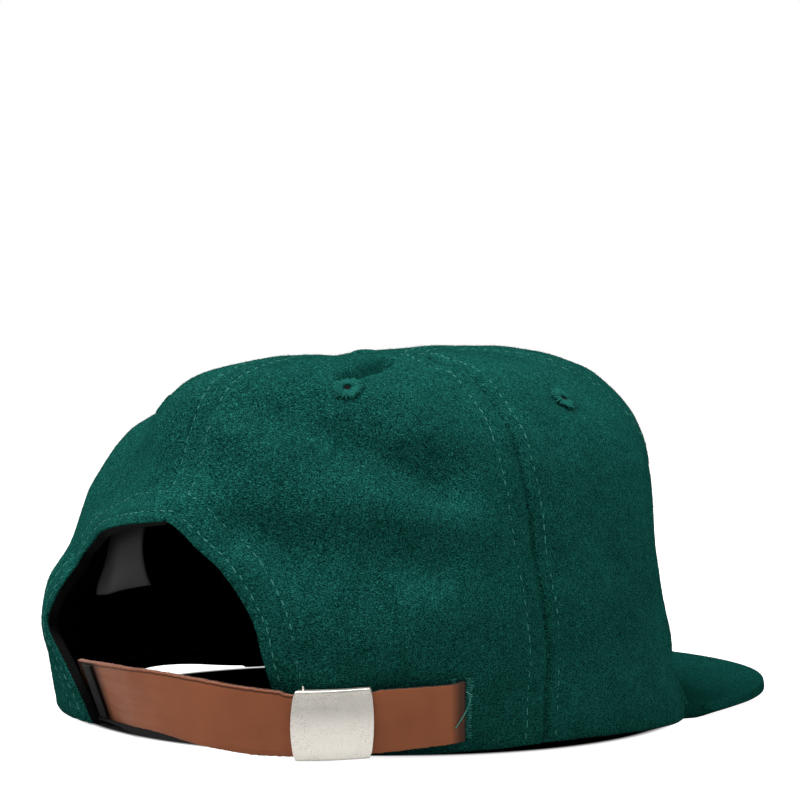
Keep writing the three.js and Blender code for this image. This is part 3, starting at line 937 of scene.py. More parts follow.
class Recipe:
    """A material's node tree, built up node by node."""

    def __init__(self, name: str) -> None:
        """Starts a tree that has only its output and its shader."""
        self.material = bpy.data.materials.new(name)
        self.material.use_nodes = True
        self.tree = self.material.node_tree
        self.tree.nodes.clear()
        self.shader = self.tree.nodes.new("ShaderNodeBsdfPrincipled")
        output = self.tree.nodes.new("ShaderNodeOutputMaterial")
        self.tree.links.new(self.shader.outputs["BSDF"], output.inputs["Surface"])
        self.base = self.node("TexCoord", "Object", {})

    def put(self, socket: Socket, value: object) -> None:
        """Links an output to a socket, or sets a constant on it.

        Args:
            socket: The input.
            value: An output, a colour or a number.
        """
        if isinstance(value, Socket):
            self.tree.links.new(value, socket)
        elif isinstance(value, tuple) and len(value) == 3 and socket.type == "RGBA":
            socket.default_value = (*value, 1.0)
        else:
            socket.default_value = value

    def node(self, kind: str, output: str, inputs: dict[str | int, object], **options: str) -> Socket:
        """Adds a node.

        Args:
            kind: Type of the node, after its prefix.
            output: Name of the output that is used.
            inputs: Outputs or constants for its inputs.
            options: Its settings.

        Returns:
            The output.
        """
        node = self.tree.nodes.new(f"ShaderNode{kind}")
        for name, value in options.items():
            setattr(node, name, value)
        for name, value in inputs.items():
            self.put(node.inputs[name], value)
        return node.outputs[output]

    def set(self, **values: object) -> None:
        """Sets the shader's sockets by name, with spaces written as underscores."""
        for name, value in values.items():
            self.put(self.shader.inputs[name.replace("_", " ")], value)

    def mapped(self, vector: Socket, turn: Colour, scale: Colour) -> Socket:
        """Coordinates turned by degrees about x, y and z, and stretched along them."""
        ways = tuple(math.radians(angle) for angle in turn)
        return self.node("Mapping", "Vector", {"Vector": vector, "Rotation": ways, "Scale": scale})

    def noise(self, vector: Socket, scale: float, detail: float = 2.0, rough: float = 0.5,
              output: str = "Fac") -> Socket:
        """Noise.

        Args:
            vector: Coordinates that it reads.
            scale: Lumps per metre.
            detail: Finer layers.
            rough: Strength of the finer layers.
            output: "Fac" for its value or "Color" for its colour.

        Returns:
            The output.
        """
        inputs = {"Vector": vector, "Scale": scale, "Detail": detail, "Roughness": rough}
        return self.node("TexNoise", output, inputs)

    def cells(self, vector: Socket, scale: float) -> Socket:
        """Distance to the nearest of scattered points."""
        return self.node("TexVoronoi", "Distance", {"Vector": vector, "Scale": scale})

    def bands(self, vector: Socket, scale: float, wobble: float = 0.0) -> Socket:
        """Sine bands along x."""
        return self.node("TexWave", "Fac", {"Vector": vector, "Scale": scale, "Distortion": wobble})

    def shift(self, vector: Socket, by: Socket, amount: float) -> Socket:
        """Coordinates pushed about by a colour, by an amount in metres."""
        inputs = {0: by, 1: (amount, amount, amount), 2: vector}
        return self.node("VectorMath", "Vector", inputs, operation="MULTIPLY_ADD")

    def own_map(self) -> Socket:
        """The piece's own map."""
        return self.node("UVMap", "UV", {}, uv_map=WEAVE_MAP)

    def own_places(self) -> tuple[Socket, Socket]:
        """Both values of the piece's own map."""
        parts = self.tree.nodes.new("ShaderNodeSeparateXYZ")
        self.put(parts.inputs["Vector"], self.own_map())
        return parts.outputs["X"], parts.outputs["Y"]

    def sum_up(self, kind: str, a: object, b: object) -> Socket:
        """Maths of two values."""
        return self.node("Math", "Value", {0: a, 1: b}, operation=kind)

    def remap(self, value: Socket, low: float, high: float, to_low: float = 0.0,
              to_high: float = 1.0) -> Socket:
        """Value moved from the range low to high into a new one, and held within it."""
        ends = {"From Min": low, "From Max": high, "To Min": to_low, "To Max": to_high}
        return self.node("MapRange", "Result", {"Value": value, **ends})

    def blend(self, share: object, a: object, b: object, kind: str = "MIX") -> Socket:
        """Mix of two colours.

        Args:
            share: Share of b.
            a: First colour.
            b: Second colour.
            kind: How they are mixed.

        Returns:
            The mixed colour.
        """
        node = self.tree.nodes.new("ShaderNodeMix")
        node.data_type = "RGBA"
        node.blend_type = kind
        colours = [s for s in node.inputs if s.type == "RGBA"]
        self.put(node.inputs["Factor"], share)
        self.put(colours[0], a)
        self.put(colours[1], b)
        return next(s for s in node.outputs if s.type == "RGBA")

    def grey(self, value: Socket) -> Socket:
        """Value as a grey colour."""
        return self.node("CombineColor", "Color", {"Red": value, "Green": value, "Blue": value})

    def bump(self, height: Socket, deep: float, strength: float) -> Socket:
        """Normal of a bump, deep in metres."""
        return self.node("Bump", "Normal", {"Strength": strength, "Distance": deep, "Height": height})


@dataclass(frozen=True)
class WoolCloth:
    """Brushed wool: short matted fibres, lighter ones on top, over darker gaps."""

    name: str
    dark: Colour = (0.0006, 0.0078, 0.0063)
    middle: Colour = (0.0032, 0.053, 0.0425)
    light: Colour = (0.032, 0.240, 0.196)
    rough: float = 0.95
    sheen: float = 0.03
    sheen_tint: Colour = (0.03, 0.5, 0.4)
    curl_scale: float = 420
    curl: float = 0.0014
    fibre_ways: tuple[Colour, ...] = ((0, 0, 20), (55, 0, 100), (0, 60, 150), (90, 35, 60), (30, 120, 0))
    fibre_scale: Colour = (900, 4200, 4200)
    mat_scale: float = 2600
    patch_scale: float = 260
    cloud_scale: float = 42
    raised: float = 0.0005

    def make(self) -> Material:
        """Material of the cloth."""
        r = Recipe(self.name)
        bent = r.shift(r.base, r.noise(r.base, self.curl_scale, 2, output="Color"), self.curl)
        fibre = None
        for way in self.fibre_ways:
            lines = r.noise(r.mapped(bent, way, self.fibre_scale), 1.0, 1.5)
            fibre = lines if fibre is None else r.sum_up("MAXIMUM", fibre, lines)
        matted = r.noise(r.base, self.mat_scale, 3, 0.6)
        patches = r.remap(r.noise(r.base, self.patch_scale, 3, 0.6), 0.3, 0.7, 0.85, 1.15)
        clouds = r.remap(r.noise(r.base, self.cloud_scale, 2), 0.3, 0.7, 0.88, 1.12)
        body = r.blend(r.remap(matted, 0.40, 0.62), self.dark, self.middle)
        topped = r.blend(r.remap(fibre, 0.60, 0.78, 0.0, 0.85), body, self.light)
        tone = r.sum_up("MULTIPLY", patches, clouds)
        toned = r.blend(1.0, topped, r.grey(tone), "MULTIPLY")
        height = r.sum_up("ADD", r.sum_up("MULTIPLY", fibre, 0.7), r.sum_up("MULTIPLY", matted, 0.5))
        r.set(Base_Color=toned, Roughness=self.rough, Sheen_Weight=self.sheen, Sheen_Roughness=0.45,
              Sheen_Tint=self.sheen_tint, Specular_IOR_Level=0.0, Normal=r.bump(height, self.raised, 0.75))
        return r.material


@dataclass(frozen=True)
class Thread:
    """Soft twisted sewing thread."""

    name: str
    colour: Colour = (0.075, 0.34, 0.28)
    shade: Colour = (0.010, 0.10, 0.082)
    rough: float = 0.6
    sheen: float = 0.12
    gloss: float = 0.1
    twist_way: Colour = (40, 30, 50)
    twist_scale: float = 900
    fuzz_scale: float = 2600
    tone_scale: float = 260
    raised: float = 0.00008

    def make(self) -> Material:
        """Material of the thread."""
        r = Recipe(self.name)
        twist = r.bands(r.mapped(r.base, self.twist_way, (1, 1, 1)), self.twist_scale, 2.0)
        fuzz = r.noise(r.base, self.fuzz_scale, 2)
        tone = r.noise(r.base, self.tone_scale, 2)
        mixed = r.blend(r.remap(twist, 0.1, 0.8), self.shade, self.colour)
        worn_and_shaded = r.blend(r.remap(tone, 0.35, 0.7, 0.0, 0.45), mixed, self.shade)
        r.set(Base_Color=worn_and_shaded, Roughness=self.rough, Sheen_Weight=self.sheen, Sheen_Roughness=0.4,
              Specular_IOR_Level=self.gloss, Normal=r.bump(r.sum_up("ADD", twist, fuzz), self.raised, 0.6))
        return r.material


@dataclass(frozen=True)
class Leather:
    """Smooth vegetable-tanned leather with a fine grain."""

    name: str
    colour: Colour = (0.285, 0.087, 0.034)
    deep: Colour = (0.235, 0.069, 0.026)
    # Dark of the line along the top edge, and of the painted shade at the strap's ends.
    dark_line_and_shade: Colour = (0.020, 0.006, 0.003)
    # Dark end, clear end and strength of each stretch of painted shade, where the strap bends in beside the
    # loop label and at the slit, as shares of the length.
    ends: tuple[tuple[float, float, float], ...] = ()
    line_to: float = 1.0
    line_fade: float = 0.02
    line_low: tuple[float, float] = (0.940, 0.955)
    line_high: tuple[float, float] = (0.970, 0.985)
    rough: float = 0.5
    grain_scale: float = 1900
    grain_bend_scale: float = 900
    grain_bend: float = 0.0005
    pore_scale: float = 3600
    scuff_way: Colour = (0, 0, 40)
    scuff_scale: Colour = (60, 60, 700)
    cloud_scale: float = 70
    raised: float = 0.00009

    def make(self) -> Material:
        """Material of the leather's smooth face."""
        r = Recipe(self.name)
        bend = r.noise(r.base, self.grain_bend_scale, 2, output="Color")
        grain = r.cells(r.shift(r.base, bend, self.grain_bend), self.grain_scale)
        pores = r.noise(r.base, self.pore_scale, 2)
        scuffs = r.noise(r.mapped(r.base, self.scuff_way, self.scuff_scale), 1.0, 3)
        clouds = r.noise(r.base, self.cloud_scale, 3)
        tone = r.blend(r.remap(clouds, 0.32, 0.7), self.deep, self.colour)
        worn_and_shaded = r.blend(0.65, tone, r.blend(r.remap(grain, 0.0, 0.35, 0.28, 0.0), tone, self.deep))
        along, across = r.own_places()
        # Dark line along the top of the face, up to line_to.
        line_low, line_high = r.remap(across, *self.line_low), r.remap(across, *self.line_high, 0.8, 0.0)
        line_end = r.remap(along, self.line_to, self.line_to + self.line_fade, 1.0, 0.0)
        edge = r.sum_up("MULTIPLY", r.sum_up("MULTIPLY", line_low, line_high), line_end)
        worn_and_shaded = r.blend(edge, worn_and_shaded, self.dark_line_and_shade)
        # Painted shade beside the loop label and at the slit, where the strap bends in.
        for dark, clear, most in self.ends:
            worn_and_shaded = r.blend(r.remap(along, dark, clear, most, 0.0), worn_and_shaded, self.dark_line_and_shade)
        height = r.sum_up("ADD", r.sum_up("MULTIPLY", grain, 0.8), r.sum_up("MULTIPLY", pores, 0.35))
        shine = r.remap(scuffs, 0.3, 0.7, self.rough - 0.06, self.rough + 0.08)
        r.set(Base_Color=worn_and_shaded, Roughness=shine, Specular_IOR_Level=0.22,
              Normal=r.bump(height, self.raised, 0.55))
        return r.material


@dataclass(frozen=True)
class RawLeather:
    """Cut edge and flesh side of the leather, fibrous and dull."""

    name: str
    light: Colour = (0.33, 0.15, 0.10)
    dark: Colour = (0.10, 0.036, 0.022)
    # Painted shadow on the cut edge from a share of the strap's length on, where the edge lies in the dark
    # gap against the wool from the buckle on.
    dark_line_and_shade: Colour = (0.012, 0.004, 0.002)
    painted_shade_from: float = 2.0
    painted_shade_fade: float = 0.02
    fluff_scale: float = 2300
    strand_scale: Colour = (700, 700, 2600)
    raised: float = 0.0004

    def make(self) -> Material:
        """Material of the cut edge."""
        r = Recipe(self.name)
        fluff = r.noise(r.base, self.fluff_scale, 4, 0.65)
        strands = r.noise(r.mapped(r.base, (0, 0, 0), self.strand_scale), 1.0, 2)
        mixed = r.blend(r.remap(fluff, 0.35, 0.65), self.dark, self.light)
        along, _ = r.own_places()
        # Painted shadow: the cut edge turns dark from the given share of the length on.
        dark_line_and_shade = r.remap(along, self.painted_shade_from, self.painted_shade_from + self.painted_shade_fade, 0.0, 0.93)
        mixed = r.blend(dark_line_and_shade, mixed, self.dark_line_and_shade)
        r.set(Base_Color=mixed, Roughness=0.95, Sheen_Weight=0.02,
              Normal=r.bump(r.sum_up("ADD", fluff, strands), self.raised, 0.8))
        return r.material


@dataclass(frozen=True)
class SatinNickel:
    """Tumbled nickel plate with fine pits and rubs."""

    name: str
    colour: Colour = (0.92, 0.88, 0.81)
    pitted: Colour = (0.62, 0.585, 0.53)
    rough: float = 0.42
    pit_scale: float = 2600
    rub_way: Colour = (15, 0, 40)
    rub_scale: Colour = (90, 500, 500)
    cloud_scale: float = 160
    raised: float = 0.00003

    def make(self) -> Material:
        """Material of the metal."""
        r = Recipe(self.name)
        pits = r.noise(r.base, self.pit_scale, 4, 0.65)
        rubs = r.noise(r.mapped(r.base, self.rub_way, self.rub_scale), 1.0, 4, 0.6)
        clouds = r.noise(r.base, self.cloud_scale, 3)
        dirt = r.sum_up("MULTIPLY", r.remap(pits, 0.50, 0.66), r.remap(clouds, 0.38, 0.60, 0.35, 1.0))
        r.set(Base_Color=r.blend(dirt, self.colour, self.pitted), Metallic=1.0,
              Roughness=r.remap(rubs, 0.3, 0.7, self.rough - 0.07, self.rough + 0.07),
              Normal=r.bump(r.sum_up("ADD", pits, rubs), self.raised, 0.5))
        return r.material


@dataclass(frozen=True)
class WovenTape:
    """Satin-woven label cloth, with its weave along the piece's own map."""

    name: str
    colour: Colour
    shade: Colour
    ribs: tuple[float, float]
    rough: float = 0.7
    sheen: float = 0.03
    tone_scale: float = 300
    raised: float = 0.00006

    def make(self) -> Material:
        """Material of the tape."""
        r = Recipe(self.name)
        weave_map = r.own_map()
        warp = r.bands(r.mapped(weave_map, (0, 0, 0), (self.ribs[0], 1, 1)), 1.0)
        weft = r.bands(r.mapped(weave_map, (0, 0, 90), (1, self.ribs[1], 1)), 1.0)
        weave = r.sum_up("MULTIPLY", warp, weft)
        soft = r.noise(r.base, self.tone_scale, 3)
        tone = r.blend(r.remap(weave, 0.0, 0.9), self.shade, self.colour)
        aged = r.blend(r.remap(soft, 0.35, 0.7, 0.0, 0.35), tone, self.shade)
        r.set(Base_Color=aged, Roughness=self.rough, Sheen_Weight=self.sheen, Specular_IOR_Level=0.2,
              Normal=r.bump(weave, self.raised, 0.7))
        return r.material


@dataclass(frozen=True)
class LiningCloth:
    """Plain dark twill that backs the crown."""

    name: str
    colour: Colour = (0.0035, 0.0037, 0.0038)
    shade: Colour = (0.0014, 0.0015, 0.0016)
    twill_way: Colour = (0, 35, 45)
    twill_scale: float = 420
    slub_scale: float = 650
    raised: float = 0.00012

    def make(self) -> Material:
        """Material of the lining."""
        r = Recipe(self.name)
        twill = r.bands(r.mapped(r.base, self.twill_way, (1, 1, 1)), self.twill_scale, 0.6)
        slub = r.noise(r.base, self.slub_scale, 3)
        tone = r.blend(r.remap(r.sum_up("MULTIPLY", twill, slub), 0.1, 0.5), self.shade, self.colour)
        r.set(Base_Color=tone, Roughness=0.9, Specular_IOR_Level=0.06, Sheen_Weight=0.015,
              Normal=r.bump(r.sum_up("ADD", twill, slub), self.raised, 0.7))
        return r.material


@dataclass(frozen=True)
class PaleFloor:
    """Matt pale studio floor, white to the camera outside an oval under the crown and painted dark inside it
    as the crown's shadow.
    """

    name: str = "studio_floor"
    colour: Colour = (0.50, 0.50, 0.495)
    cloud: Colour = (0.47, 0.47, 0.47)
    # Colour of the painted shadow under the crown.
    painted_shadow: Colour = (0.02, 0.02, 0.02)
    oval: Colour = (10.7, 11.3, 0.0)
    middle: Colour = (0.0, 0.244, 0.0)
    near: float = 0.96
    far: float = 0.995
    dim: float = 0.0
    bright: float = 0.95
    cloud_scale: float = 6

    def make(self) -> Material:
        """Material of the floor."""
        r = Recipe(self.name)
        soft = r.noise(r.base, self.cloud_scale, 2)
        oval = r.mapped(r.base, (0, 0, 0), self.oval)
        away = r.node("VectorMath", "Value", {0: oval, 1: self.middle}, operation="DISTANCE")
        seen = r.node("LightPath", "Is Camera Ray", {})
        glow = r.remap(away, self.near, self.far, self.dim, self.bright)
        r.set(Emission_Color=(1.0, 1.0, 1.0), Emission_Strength=r.sum_up("MULTIPLY", glow, seen))
        pale = r.blend(r.remap(soft, 0.3, 0.7, 0.0, 0.03), self.colour, self.cloud)
        # Painted shadow: the floor goes dark inside the oval under the crown.
        shade = r.remap(away, self.near, self.far, 1.0, 0.0)
        r.set(Base_Color=r.blend(shade, pale, self.painted_shadow), Roughness=0.8, Specular_IOR_Level=0.0)
        return r.material


@dataclass
class Workshop:
    """What every sub-assembly works with: the frame, the crown's shape, the mesh maker and the finishes."""

    frame: Frame
    crown: Crown
    mesher: Mesher
    finishes: dict[str, Material]

    def settle(self, obj: Piece, slot: str, finishes: Sequence[str],
               *nodes: str) -> Piece:
        """Dresses a piece, rides it on the body and hides the CAD nodes it stands for.

        Args:
            obj: The piece.
            slot: Not used.
            finishes: Names of its finishes, in the order of its material indices.
            nodes: CAD nodes that it replaces.

        Returns:
            The same piece.
        """
        for name in finishes:
            obj.data.materials.append(self.finishes[name])
        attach(obj, BODY)
        if nodes:
            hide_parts(*nodes)
        log.info("%s: %d faces before modifiers", obj.name, len(obj.data.polygons))
        return obj


@dataclass
class CrownPanels:
    """Six wool panels sewn together, each a curved wall of cloth with turned edges."""

    shop: Workshop
    cells: dict[Ring, tuple[int, int]] = field(default_factory=lambda: {
        Ring.BACK: (64, 92), Ring.SIDE: (36, 64), Ring.FRONT: (34, 60)})
    seam_lap: float = 0.4
    seam_weight: float = 0.3
    seam_thin: tuple[float, float] = (0.3, 2.4)
    closeness: float = 0.8
    panels: list[Piece] = field(default_factory=list)

    def spread(self, u: Array) -> Array:
        """Spacing across a panel, closer at its two seams."""
        return mix(u, 0.5 - 0.5 * np.cos(math.pi * u), self.closeness)

    def net(self, ring: Ring, hand: Hand, u: Array, v: Array) -> tuple[Array, Array]:
        """Places on a panel.

        Args:
            ring: The panel's place.
            hand: Its side of the wearer.
            u: Share of the way across it, from the rear one of its seams or the front one.
            v: Share of the way up it.

        Returns:
            Turns, as on the wearer's right, and levels.
        """
        crown = self.shop.crown
        across = self.spread(u)
        start = v * crown.top
        if ring is Ring.BACK:
            rear_turn, rear_level = crown.rear_edge(v, hand)
            level = mix(start, rear_level, across)
            turn = mix(crown.side_seam, rear_turn, across)
            lap = np.degrees(self.seam_lap / crown.reach(turn, level))
            return turn - lap * (1 - across) + lap * across * (v > 0.5), level
        level = start
        zero, front, side, _ = crown.seam_turns(level)
        rearward, forward = (side, front) if ring is Ring.SIDE else (front, zero)
        turn = mix(rearward, forward, across)
        lap = np.degrees(self.seam_lap / crown.reach(turn, level))
        return turn + lap * (1 - 2 * across), level

    def weights(self, ring: Ring, hand: Hand, u: Array, v: Array) -> Array:
        """Share of the hem's thickness at each place, thin where two panels meet.

        Args:
            ring: The panel's place.
            hand: Its side of the wearer.
            u: Share of the way across it.
            v: Share of the way up it.

        Returns:
            The shares.
        """
        crown = self.shop.crown
        turn, level = self.net(ring, hand, u, v)
        p = crown.plain(hand.value * turn, level)
        r = np.hypot(p[:, 0], p[:, 1])
        away = np.full(len(p), np.inf)
        for at in crown.seam_turns(level):
            away = np.minimum(away, np.abs(r * np.radians(turn - at)))
        thin = blend_step(away, *self.seam_thin)
        return crown.wall(p) / crown.hem * mix(self.seam_weight, 1.0, thin)

    def build(self) -> None:
        """Makes the six panels."""
        for hand in Hand:
            for ring in Ring:
                across, along = self.cells[ring]
                node = f"crown_panel_{ring.value}_{hand.word}"
                obj = self.shop.mesher.grid(f"wool_{node}", across, along, self.placer(ring, hand))
                co_u, co_v = self.corners(across, along)
                weigh(obj, "wall", self.weights(ring, hand, co_u, co_v))
                thicken(obj, self.shop.crown.hem * MM, "wall", inside=1)
                round_off(obj)
                self.panels.append(self.shop.settle(obj, "wool", ["wool", "lining"], node))

    def placer(self, ring: Ring, hand: Hand) -> Place:
        """Function from u and v to points of one panel."""
        def place(u: Array, v: Array) -> Array:
            """Points of the sheet."""
            turn, level = self.net(ring, hand, u, v)
            return self.shop.crown.point(hand.value * turn, level)
        return place

    @staticmethod
    def corners(across: int, along: int) -> tuple[Array, Array]:
        """The u and v of a grid's vertices, in the operator's own order."""
        bm = bmesh.new()
        bmesh.ops.create_grid(bm, x_segments=across, y_segments=along, size=0.5)
        co = np.array([v.co[:2] for v in bm.verts]) + 0.5
        bm.free()
        return co[:, 0], co[:, 1]


@dataclass
class Stitching:
    """Rows of sewing stitches along the seams and round the rear opening."""

    shop: Workshop
    pitch: float = 3.2
    long: float = 2.35
    shortest: float = 0.8
    longest: float = 1.08
    thick: float = 0.17
    sag: float = 0.8
    lift: float = 0.04
    bob: float = 0.05
    uneven: float = 0.15
    skew: float = 0.09
    wander: float = 0.1
    probe: float = 0.4
    clear: float = 0.0006
    levels: tuple[float, float, int] = (0.008, 0.95, 240)
    hem_clear: float = 1.5
    seed: int = 3
    runs: tuple[tuple[Seam, int], ...] = (
        (Seam.FRONT, 1), (Seam.FRONT_SIDE, 1), (Seam.FRONT_SIDE, -1),
        (Seam.REAR_SIDE, 1), (Seam.REAR_SIDE, -1), (Seam.REAR, 1))

    def row(self, turn: Array, level: Array, rng: np.random.Generator) -> Array:
        """Placing matrices of the stitches along one line.

        Args:
            turn: Turns of the line.
            level: Levels of the line.
            rng: Source of the small differences between stitches.

        Returns:
            A matrix for each stitch.
        """
        crown = self.shop.crown
        fine = crown.point(turn, level)
        run = lengths_along(fine)
        count = int(run[-1] / self.pitch)
        at = (np.arange(count) + 0.5) * self.pitch + rng.uniform(-self.uneven, self.uneven, count)
        turns, levels = np.interp(at, run, turn), np.interp(at, run, level)
        here = crown.point(turns, levels)
        ahead = crown.point(np.interp(at + self.probe, run, turn), np.interp(at + self.probe, run, level))
        up = crown.outward(turns, levels)
        along = unit(ahead - here)
        side = unit(np.cross(up, along))
        along = unit(along + side * rng.normal(0, self.skew, (count, 1)))
        raised = up * (self.lift + rng.normal(0, self.bob, (count, 1)))
        origin = here + raised + side * rng.normal(0, self.wander, (count, 1))
        half = self.long / 2 * rng.uniform(self.shortest, self.longest, count)
        scale = np.stack([half, np.full(count, self.thick), np.full(count, self.thick)], 1)
        return frames_at(self.shop.frame.metres(origin), along, up, scale)

    def seam_line(self, seam: Seam, side: int, offset: float) -> tuple[Array, Array]:
        """Line of stitches beside a seam, on one side of it.

        Args:
            seam: The seam.
            side: Sign of its turns.
            offset: Distance from the seam in millimetres.

        Returns:
            Turns and levels.
        """
        crown = self.shop.crown
        level = np.linspace(*self.levels)
        at = crown.seam_turns(level)[seam.value] * side
        p = crown.plain(at, level)
        r = np.hypot(p[:, 0], p[:, 1])
        turn = at + np.degrees(offset / r)
        keep = r > 3 * abs(offset)
        if seam is Seam.REAR:
            keep &= level > crown.level_at(OPENINGS[-1].height)
            away = distance_to(crown.edge, crown.plain(turn, level))
            keep &= away > crown.hem_lines[1] - self.hem_clear
        return turn[keep], level[keep]

    def build(self) -> None:
        """Makes one piece for the seams and one for the rear opening."""
        rng = np.random.default_rng(self.seed)
        rows = []
        for seam, side in self.runs:
            rearward, forward = self.shop.crown.stitch_lines[seam.value]
            for offset in (rearward * side, -forward * side):
                rows.append(self.row(*self.seam_line(seam, side, offset), rng))
        self.piece("seam_stitches", rows)
        rows = []
        for away in self.shop.crown.hem_lines:
            turn, level = self.shop.crown.off_edge(away)
            rows.append(self.row(np.degrees(np.unwrap(np.radians(turn))), level, rng))
        self.piece("opening_stitches", rows)

    def piece(self, name: str, rows: list[Array]) -> None:
        """One joined mesh of stitches.

        Args:
            name: Name of the piece.
            rows: Placing matrices, row by row.
        """
        places = np.concatenate(rows)
        places = places[places[:, 2, 3] > self.clear]
        obj = self.shop.mesher.copies(name, spindle(sag=self.sag), places)
        self.shop.settle(obj, "eyelet_thread", ["thread"])


@dataclass
class Eyelet:
    """Vent hole worked round with radial stitches."""

    shop: Workshop
    name: str
    turn: float
    level: float
    radius: float = 4.7
    hole: float = 1.0
    deep: float = 0.25
    inner_in: float = 0.1
    inner_uneven: float = 0.35
    outer_ends: tuple[float, float] = (0.72, 1.04)
    skew: float = 0.1
    bob: float = 0.15
    sag: float = 0.9
    probe: float = 0.01
    throat_sides: int = 16
    # Height above the cloth, thickness and number of the stitches of each round.
    rounds: tuple[tuple[float, float, int], ...] = ((0.2, 0.34, 48), (0.4, 0.24, 56), (0.6, 0.18, 44))

    def near(self, along: Array, up: Array) -> tuple[Array, Array]:
        """Places a short way from the middle of the hole.

        Args:
            along: Distances along the cloth.
            up: Distances up the cloth.

        Returns:
            Turns and levels.
        """
        crown = self.shop.crown
        r = crown.reach(self.turn, self.level)
        above, below = (crown.plain(self.turn, self.level + step) for step in (self.probe, -self.probe))
        rise = np.linalg.norm(above - below) / (2 * self.probe)
        return self.turn + np.degrees(along / r), self.level + up / rise

    def build(self, seed: int) -> None:
        """Makes the eyelet's ring of stitches.

        Args:
            seed: Seed of the small differences between stitches.
        """
        rng = np.random.default_rng(seed)
        crown = self.shop.crown
        rounds = []
        for lift, thick, count in self.rounds:
            angle = (np.arange(count) + rng.uniform(0.2, 0.8, count)) / count * 2 * math.pi
            inner = self.hole - self.inner_in + rng.uniform(0, self.inner_uneven, count)
            outer = self.radius * rng.uniform(*self.outer_ends, count)
            leaning = angle + rng.normal(0, self.skew, count)
            start = crown.point(*self.near(inner * np.cos(angle), inner * np.sin(angle)), fine=False)
            end = crown.point(*self.near(outer * np.cos(leaning), outer * np.sin(leaning)), fine=False)
            up = crown.outward(*self.near(np.zeros(count), np.zeros(count)))
            origin = (start + end) / 2 + up * (lift + rng.uniform(0, self.bob, (count, 1)))
            half = np.linalg.norm(end - start, axis=1) / 2
            scale = np.stack([half, np.full(count, thick), np.full(count, thick)], 1)
            rounds.append(frames_at(self.shop.frame.metres(origin), end - start, up, scale))
        obj = self.shop.mesher.copies(f"worked_{self.name}", spindle(sag=self.sag), np.concatenate(rounds))
        self.shop.settle(obj, "eyelet_thread", ["eyelet_thread"], self.name)
        self.throat()

    def throat(self) -> None:
        """Dark disc at the bottom of the hole."""
        bm = bmesh.new()
        bmesh.ops.create_circle(bm, cap_ends=True, segments=self.throat_sides, radius=1.0)
        crown = self.shop.crown
        turn, level = np.array([self.turn]), np.array([self.level])
        up = crown.outward(turn, level)
        here = crown.point(turn, level, fine=False) + up * self.deep
        size = np.full((1, 3), self.hole)
        place = frames_at(self.shop.frame.metres(here), np.cross(up, [[0.0, 0.0, 1.0]]), up, size)
        obj = self.shop.mesher.copies(f"hole_{self.name}", bm, place)
        self.shop.settle(obj, "lining_cloth", ["lining"])


@dataclass
class StrapCurve:
    """Run of the strap round the rear opening."""

    crown: Crown
    level: float = 0.11
    steps: int = 60
    probe: float = 0.3
    points: Array = field(init=False)
    tucks: Array = field(init=False)
    wides: Array = field(init=False)
    run: Array = field(init=False)
    length: float = field(init=False)

    def __post_init__(self) -> None:
        """Lays the smooth curve through the strap's rows."""
        turns = np.array([row.turn for row in STRAP_ROWS])
        out = np.array([row.out for row in STRAP_ROWS])
        r = self.crown.reach(turns, np.full(len(turns), self.level)) + out
        x, y = -r * np.sin(np.radians(turns)), -r * np.cos(np.radians(turns))
        points = np.stack([x, y, np.array([row.low for row in STRAP_ROWS])], 1)
        ends = np.concatenate([[2 * points[0] - points[1]], points, [2 * points[-1] - points[-2]]])
        share = np.linspace(0, 1, self.steps, endpoint=False)[:, None]
        runs, tucks, wides = [], [], []
        for i in range(len(points) - 1):
            a, b, c, d = ends[i : i + 4]
            t0, t1, t2 = (max(math.sqrt(np.linalg.norm(q - p)), 1e-4) for p, q in ((a, b), (b, c), (c, d)))
            lead = ((b - a) / t0 - (c - a) / (t0 + t1) + (c - b) / t1) * t1
            trail = ((c - b) / t1 - (d - b) / (t1 + t2) + (d - c) / t2) * t1
            second, third = -3 * b + 3 * c - 2 * lead - trail, 2 * b - 2 * c + lead + trail
            runs.append(b + lead * share + second * share**2 + third * share**3)
            tucks.append(mix(STRAP_ROWS[i].tuck, STRAP_ROWS[i + 1].tuck, share[:, 0]))
            wides.append(mix(STRAP_ROWS[i].wide, STRAP_ROWS[i + 1].wide, share[:, 0]))
        self.points = np.concatenate([*runs, points[-1:]])
        self.tucks = np.concatenate([*tucks, [STRAP_ROWS[-1].tuck]])
        self.wides = np.concatenate([*wides, [STRAP_ROWS[-1].wide]])
        self.run = lengths_along(self.points)
        self.length = float(self.run[-1])

    def share_at(self, row: int) -> float:
        """Share of the strap's length at one of its rows."""
        return float(self.run[row * self.steps] / self.length)

    def width(self, along: Array) -> Array:
        """Width of the strap at a length along it."""
        return np.interp(along, self.run, self.wides)

    def on_line(self, along: Array) -> Array:
        """Points of the line itself at lengths along it."""
        return np.stack([np.interp(along, self.run, self.points[:, i]) for i in range(3)], -1)

    def at(self, along: Array, up: Array, out: Array) -> Array:
        """Point on the strap.

        Args:
            along: Length along it.
            up: Height above its lower edge.
            out: Depth out from its middle.

        Returns:
            The point.
        """
        p = self.on_line(along)
        tangent = self.on_line(along + self.probe) - self.on_line(along - self.probe)
        tangent[..., 2] = 0
        tangent = unit(tangent)
        away = np.stack([tangent[..., 1], -tangent[..., 0], np.zeros(len(tangent))], -1)
        tuck = np.interp(along, self.run, self.tucks) * (1 - up / self.width(along))
        p = p + away * (out - tuck)[..., None]
        p[..., 2] += up
        return p


